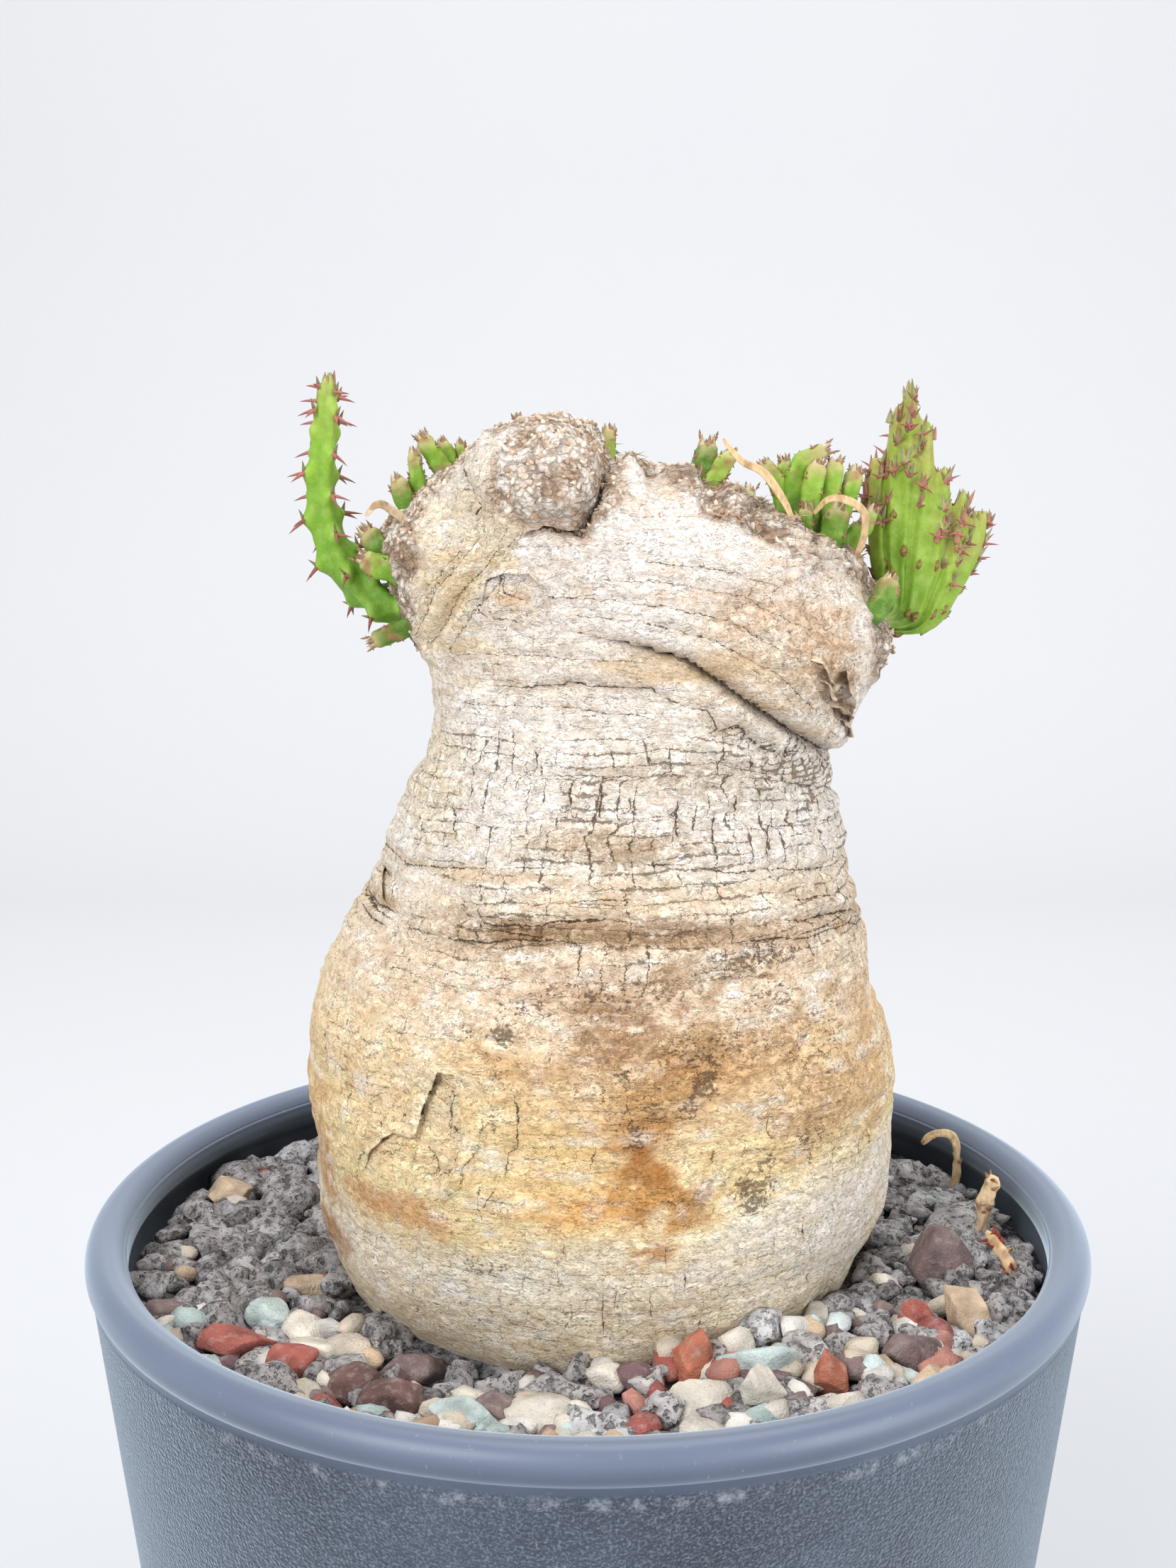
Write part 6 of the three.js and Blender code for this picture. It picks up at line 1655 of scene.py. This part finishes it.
# The wall is two straight slopes, the rim three arcs, and the whole profile turns round the axis.
def makePot():
    bodyLow = rimZ - pot["rimBand"]
    slope = (pot["bodyTop"] - pot["foot"]) / bodyLow
    floorTop = pot["footHeight"] + pot["floor"]
    ringInner = pot["foot"] - pot["footRing"]

    def innerAt(z):  # radius of the inner wall
        return pot["bodyTop"] - pot["wall"] - slope * (bodyLow - z)

    outer = np.linspace(1.6, bodyLow - 0.4, 30)
    inner = np.linspace(rimZ - 6, floorTop + 1, 16)
    profile = np.vstack([
        [(0, pot["footHeight"]), (ringInner - 1, pot["footHeight"]), (ringInner - 0.3, 1.5), (ringInner, 0)],
        [(pot["foot"] - 1.2, 0), (pot["foot"] - 0.4, 0.5)],
        np.stack([pot["foot"] + 0.2 + slope * outer * 0.99, outer], -1),
        [(pot["bodyTop"] + 0.05, bodyLow + 0.1)],
        *[arc(*part) for part in pot["rimArcs"]],
        [(69.0, rimZ - 1.2), (68.95, rimZ - 3), (innerAt(rimZ - 5), rimZ - 5)],
        np.stack([innerAt(inner), inner], -1),
        [(innerAt(floorTop) - 1, floorTop), (0, floorTop)],
    ])
    turn = turnsOf(pot["around"])
    reach, height = profile[1:-1, :1], profile[1:-1, 1:]
    points = np.stack([reach * np.cos(turn), reach * np.sin(turn), np.repeat(height, len(turn), 1)], -1)
    points = np.vstack([points.reshape(-1, 3), (0, 0, profile[0, 1]), (0, 0, profile[-1, 1])])
    number = np.arange(len(reach))  # the body's outside is made of rings 5 to 39, the inside of those past 40
    onBody = (number > 4) & (number < 40) & (height[:, 0] < bodyLow - 0.2)
    onInside = (number > 40) & (height[:, 0] < rimZ - 1.5)
    values = {key: np.append(np.repeat(part, len(turn)), [0, 0]).astype(float)
              for key, part in (("body", onBody), ("inside", onInside))}
    return points, ringFaces(len(reach), len(turn)), values


def potFinish():  # grained, with dust and lime; painted light on the rim, painted shade below its bead and inside
    material, tree = newFinish("slatePlastic", 0.48, Specular_IOR_Level=0.6, Sheen_Weight=0.9,
                               Sheen_Roughness=0.42, Sheen_Tint=(0.72, 0.86, 1.0, 1))
    place = placeIn(tree)
    split = addNode(tree, "ShaderNodeSeparateXYZ", {0: place}).outputs
    depth, height = Field(split[1]), Field(split[2])
    body = stored(tree, "body")
    pebbled = fromTo(cellMiddles(place, 2.0), 0.1, 0.75, 1, 0)
    fineGrain = grain(place, 2.6, 3, 0.6)
    patchy = grain(place, 0.05, 3)
    # Lime stands in patches along the step below the rim, towards the front.
    fromStep = mathOf("ABSOLUTE", height + (5.4 - rimZ))
    limed = fromTo(fromStep, 0.2, 1.3, 1, 0) * fromTo(grain(place, 0.3, 5, 0.7), 0.5, 0.66)
    colour = layered(
        # the rim: painted light above its bead, painted shade below it
        mixed(fromTo(height, rimZ - 2.4, rimZ - 0.2), tone(*pot["rimLow"]), tone(*pot["rim"])),
        (body, pot["shade"]),
        # painted shade inside the pot
        (stored(tree, "inside"), pot["inner"]),
        (fromTo(patchy, 0.35, 0.7, 0, 0.2), (104, 116, 138)),
        # pale flecks on the body's grain: painted glints
        (fromTo(fineGrain, 0.5, 0.66) * (body * 0.3), (150, 162, 184)),
        (fromTo(grain(place, 0.9, 6, 0.75), 0.63, 0.72) * 0.4, (176, 180, 186)),
        (limed * fromTo(depth, -40, -66) * 0.4, (196, 202, 210)))
    roughness = body * 0.24 + fromTo(patchy, 0.3, 0.7, 0.36, 0.46)
    linked(tree, "Roughness", roughness)
    return finished(material, colour, (pebbled + fineGrain * 0.6) * body + fineGrain * 0.08, 0.12)


potPiece = addPiece("potShell", makePot(), potFinish(), ["pot"])
cutter = bmesh.new()
for number in range(pot["drains"] + 1):  # the last one is in the middle
    angle = number / pot["drains"] * fullTurn
    out = 0 if number == pot["drains"] else pot["drainRing"]
    drain = pot["drain"] * mm
    made = bmesh.ops.create_cone(
        cutter, cap_ends=True, segments=24, radius1=drain, radius2=drain, depth=12 * mm)
    middle = (out * math.cos(angle) * mm, out * math.sin(angle) * mm, 4.5 * mm)
    bmesh.ops.translate(cutter, verts=made["verts"], vec=middle)
cutterMesh = bpy.data.meshes.new("drainCutter")
cutter.to_mesh(cutterMesh)
cutter.free()
cutterObject = placed("drainCutter", cutterMesh)
drill = potPiece.modifiers.new("drains", "BOOLEAN")
drill.object = cutterObject
drill.operation = "DIFFERENCE"
drill.solver = "EXACT"
drilled = bpy.data.meshes.new_from_object(potPiece.evaluated_get(bpy.context.evaluated_depsgraph_get()))
potPiece.modifiers.clear()
oldShell = potPiece.data
potPiece.data = drilled
bpy.data.meshes.remove(oldShell)
bpy.data.objects.remove(cutterObject)
print("pot:", len(potPiece.data.polygons), "faces")


# Potting mix: seen only through the drain holes.
def soilFinish():
    material, tree = newFinish("pottingMix", 1.0, Specular_IOR_Level=0.1)
    place = placeIn(tree)
    clods = grain(place, 0.6, 6, 0.7)
    grit = cellMiddles(place, 0.8)
    colour = mixed(fromTo(clods, 0.35, 0.65), tone(48, 36, 28), tone(96, 76, 58))
    colour = layered(colour, (fromTo(grit, 0.3, 0.15, 0, 0.7), (168, 160, 148)))
    return finished(material, colour, clods + grit * -0.4, 0.8)


soilMaterial = soilFinish()
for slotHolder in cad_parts["soil"].material_slots:
    slotHolder.material = soilMaterial

# Stage, in metres: a pale floor that curves up behind, soft light from above and the left, and the photo's
# view. Each light has its place, width and power.
stage = {
    "floor": (205, 207, 210), "wall": (215, 216, 218), "shade": (212, 213, 217), "near": -0.9, "turnUp": 0.75,
    "rise": 1.6, "bend": 0.45, "half": 2.4, "air": (246, 247, 250), "airPower": 0.72, "aim": (0, 0, 0.16),
    "lights": {"keyLight": ((-0.7, -0.95, 0.85), 0.8, 13), "topLight": ((0.1, 0.2, 1.4), 1.0, 9),
               "fillLight": ((1.1, -0.8, 0.5), 1.0, 11)},
    "focal": 2649 / 2212,  # the photo's focal length over its height, in pixels
    "eye": (0, -0.2734, 0.2465), "tilt": 80,
}


def makeStage():  # a level floor, a quarter circle and an upright wall
    angle = np.linspace(0, math.pi / 2, 16)
    curve = [(stage["near"], 0.0)]
    bend = stage["bend"]
    curve += [(stage["turnUp"] + bend * math.sin(a), bend * (1 - math.cos(a))) for a in angle]
    curve.append((stage["turnUp"] + stage["bend"], stage["rise"]))
    curve = np.array(curve)
    sides = np.repeat([-stage["half"], stage["half"]], len(curve))
    points = np.column_stack([sides, np.tile(curve, (2, 1))])
    low = np.arange(len(curve) - 1)
    quads = np.stack([low, low + len(curve), low + len(curve) + 1, low + 1], -1)
    mesh = bpy.data.meshes.new("studioFloor")
    mesh.from_pydata(points.tolist(), [], quads.tolist())
    mesh.polygons.foreach_set("use_smooth", np.full(len(quads), True))
    mesh.update()
    material, tree = newFinish("studioPaper", 0.9, Specular_IOR_Level=0.1)
    place = placeIn(tree)
    behind = fieldOf(tree, "ShaderNodeSeparateXYZ", {0: place}, 1)
    colour = mixed(fromTo(behind, 60, 650), tone(*stage["floor"]), tone(*stage["wall"]))
    colour = layered(colour, (fromTo(grain(place, 0.004, 4), 0.35, 0.65, 0, 0.25), stage["shade"]))
    linked(tree, "Base Color", colour)
    mesh.materials.append(material)
    floor = placed("studioFloor", mesh)


def addLight(name, place, width, power):  # a round light, turned towards the stage's aim
    light = bpy.data.lights.new(name, "AREA")
    light.shape = "DISK"
    light.size = width
    light.energy = power
    lamp = placed(name, light)
    lamp.location = place
    away = np.array(stage["aim"]) - place
    tilt = math.acos(-away[2] / np.linalg.norm(away))
    lamp.rotation_euler = (tilt, 0, math.atan2(away[1], away[0]) - math.pi / 2)


makeStage()
for name, light in stage["lights"].items():
    addLight(name, *light)
world = bpy.data.worlds.new("studioWorld")
world.use_nodes = True
air = world.node_tree.nodes["Background"].inputs
air[0].default_value = (*tone(*stage["air"]), 1)
air[1].default_value = stage["airPower"]
bpy.context.scene.world = world
bpy.context.scene.view_settings.view_transform = "Standard"

camera = bpy.data.cameras.new("photoCamera")
camera.sensor_width = 36
camera.lens = stage["focal"] * camera.sensor_width
camera.clip_start = 0.01
camera.dof.use_dof = False
cameraObject = placed("photoCamera", camera)
cameraObject.location = stage["eye"]
cameraObject.rotation_euler = (math.radians(stage["tilt"]), 0, 0)
bpy.context.scene.camera = cameraObject
print("stage, light and camera in place")
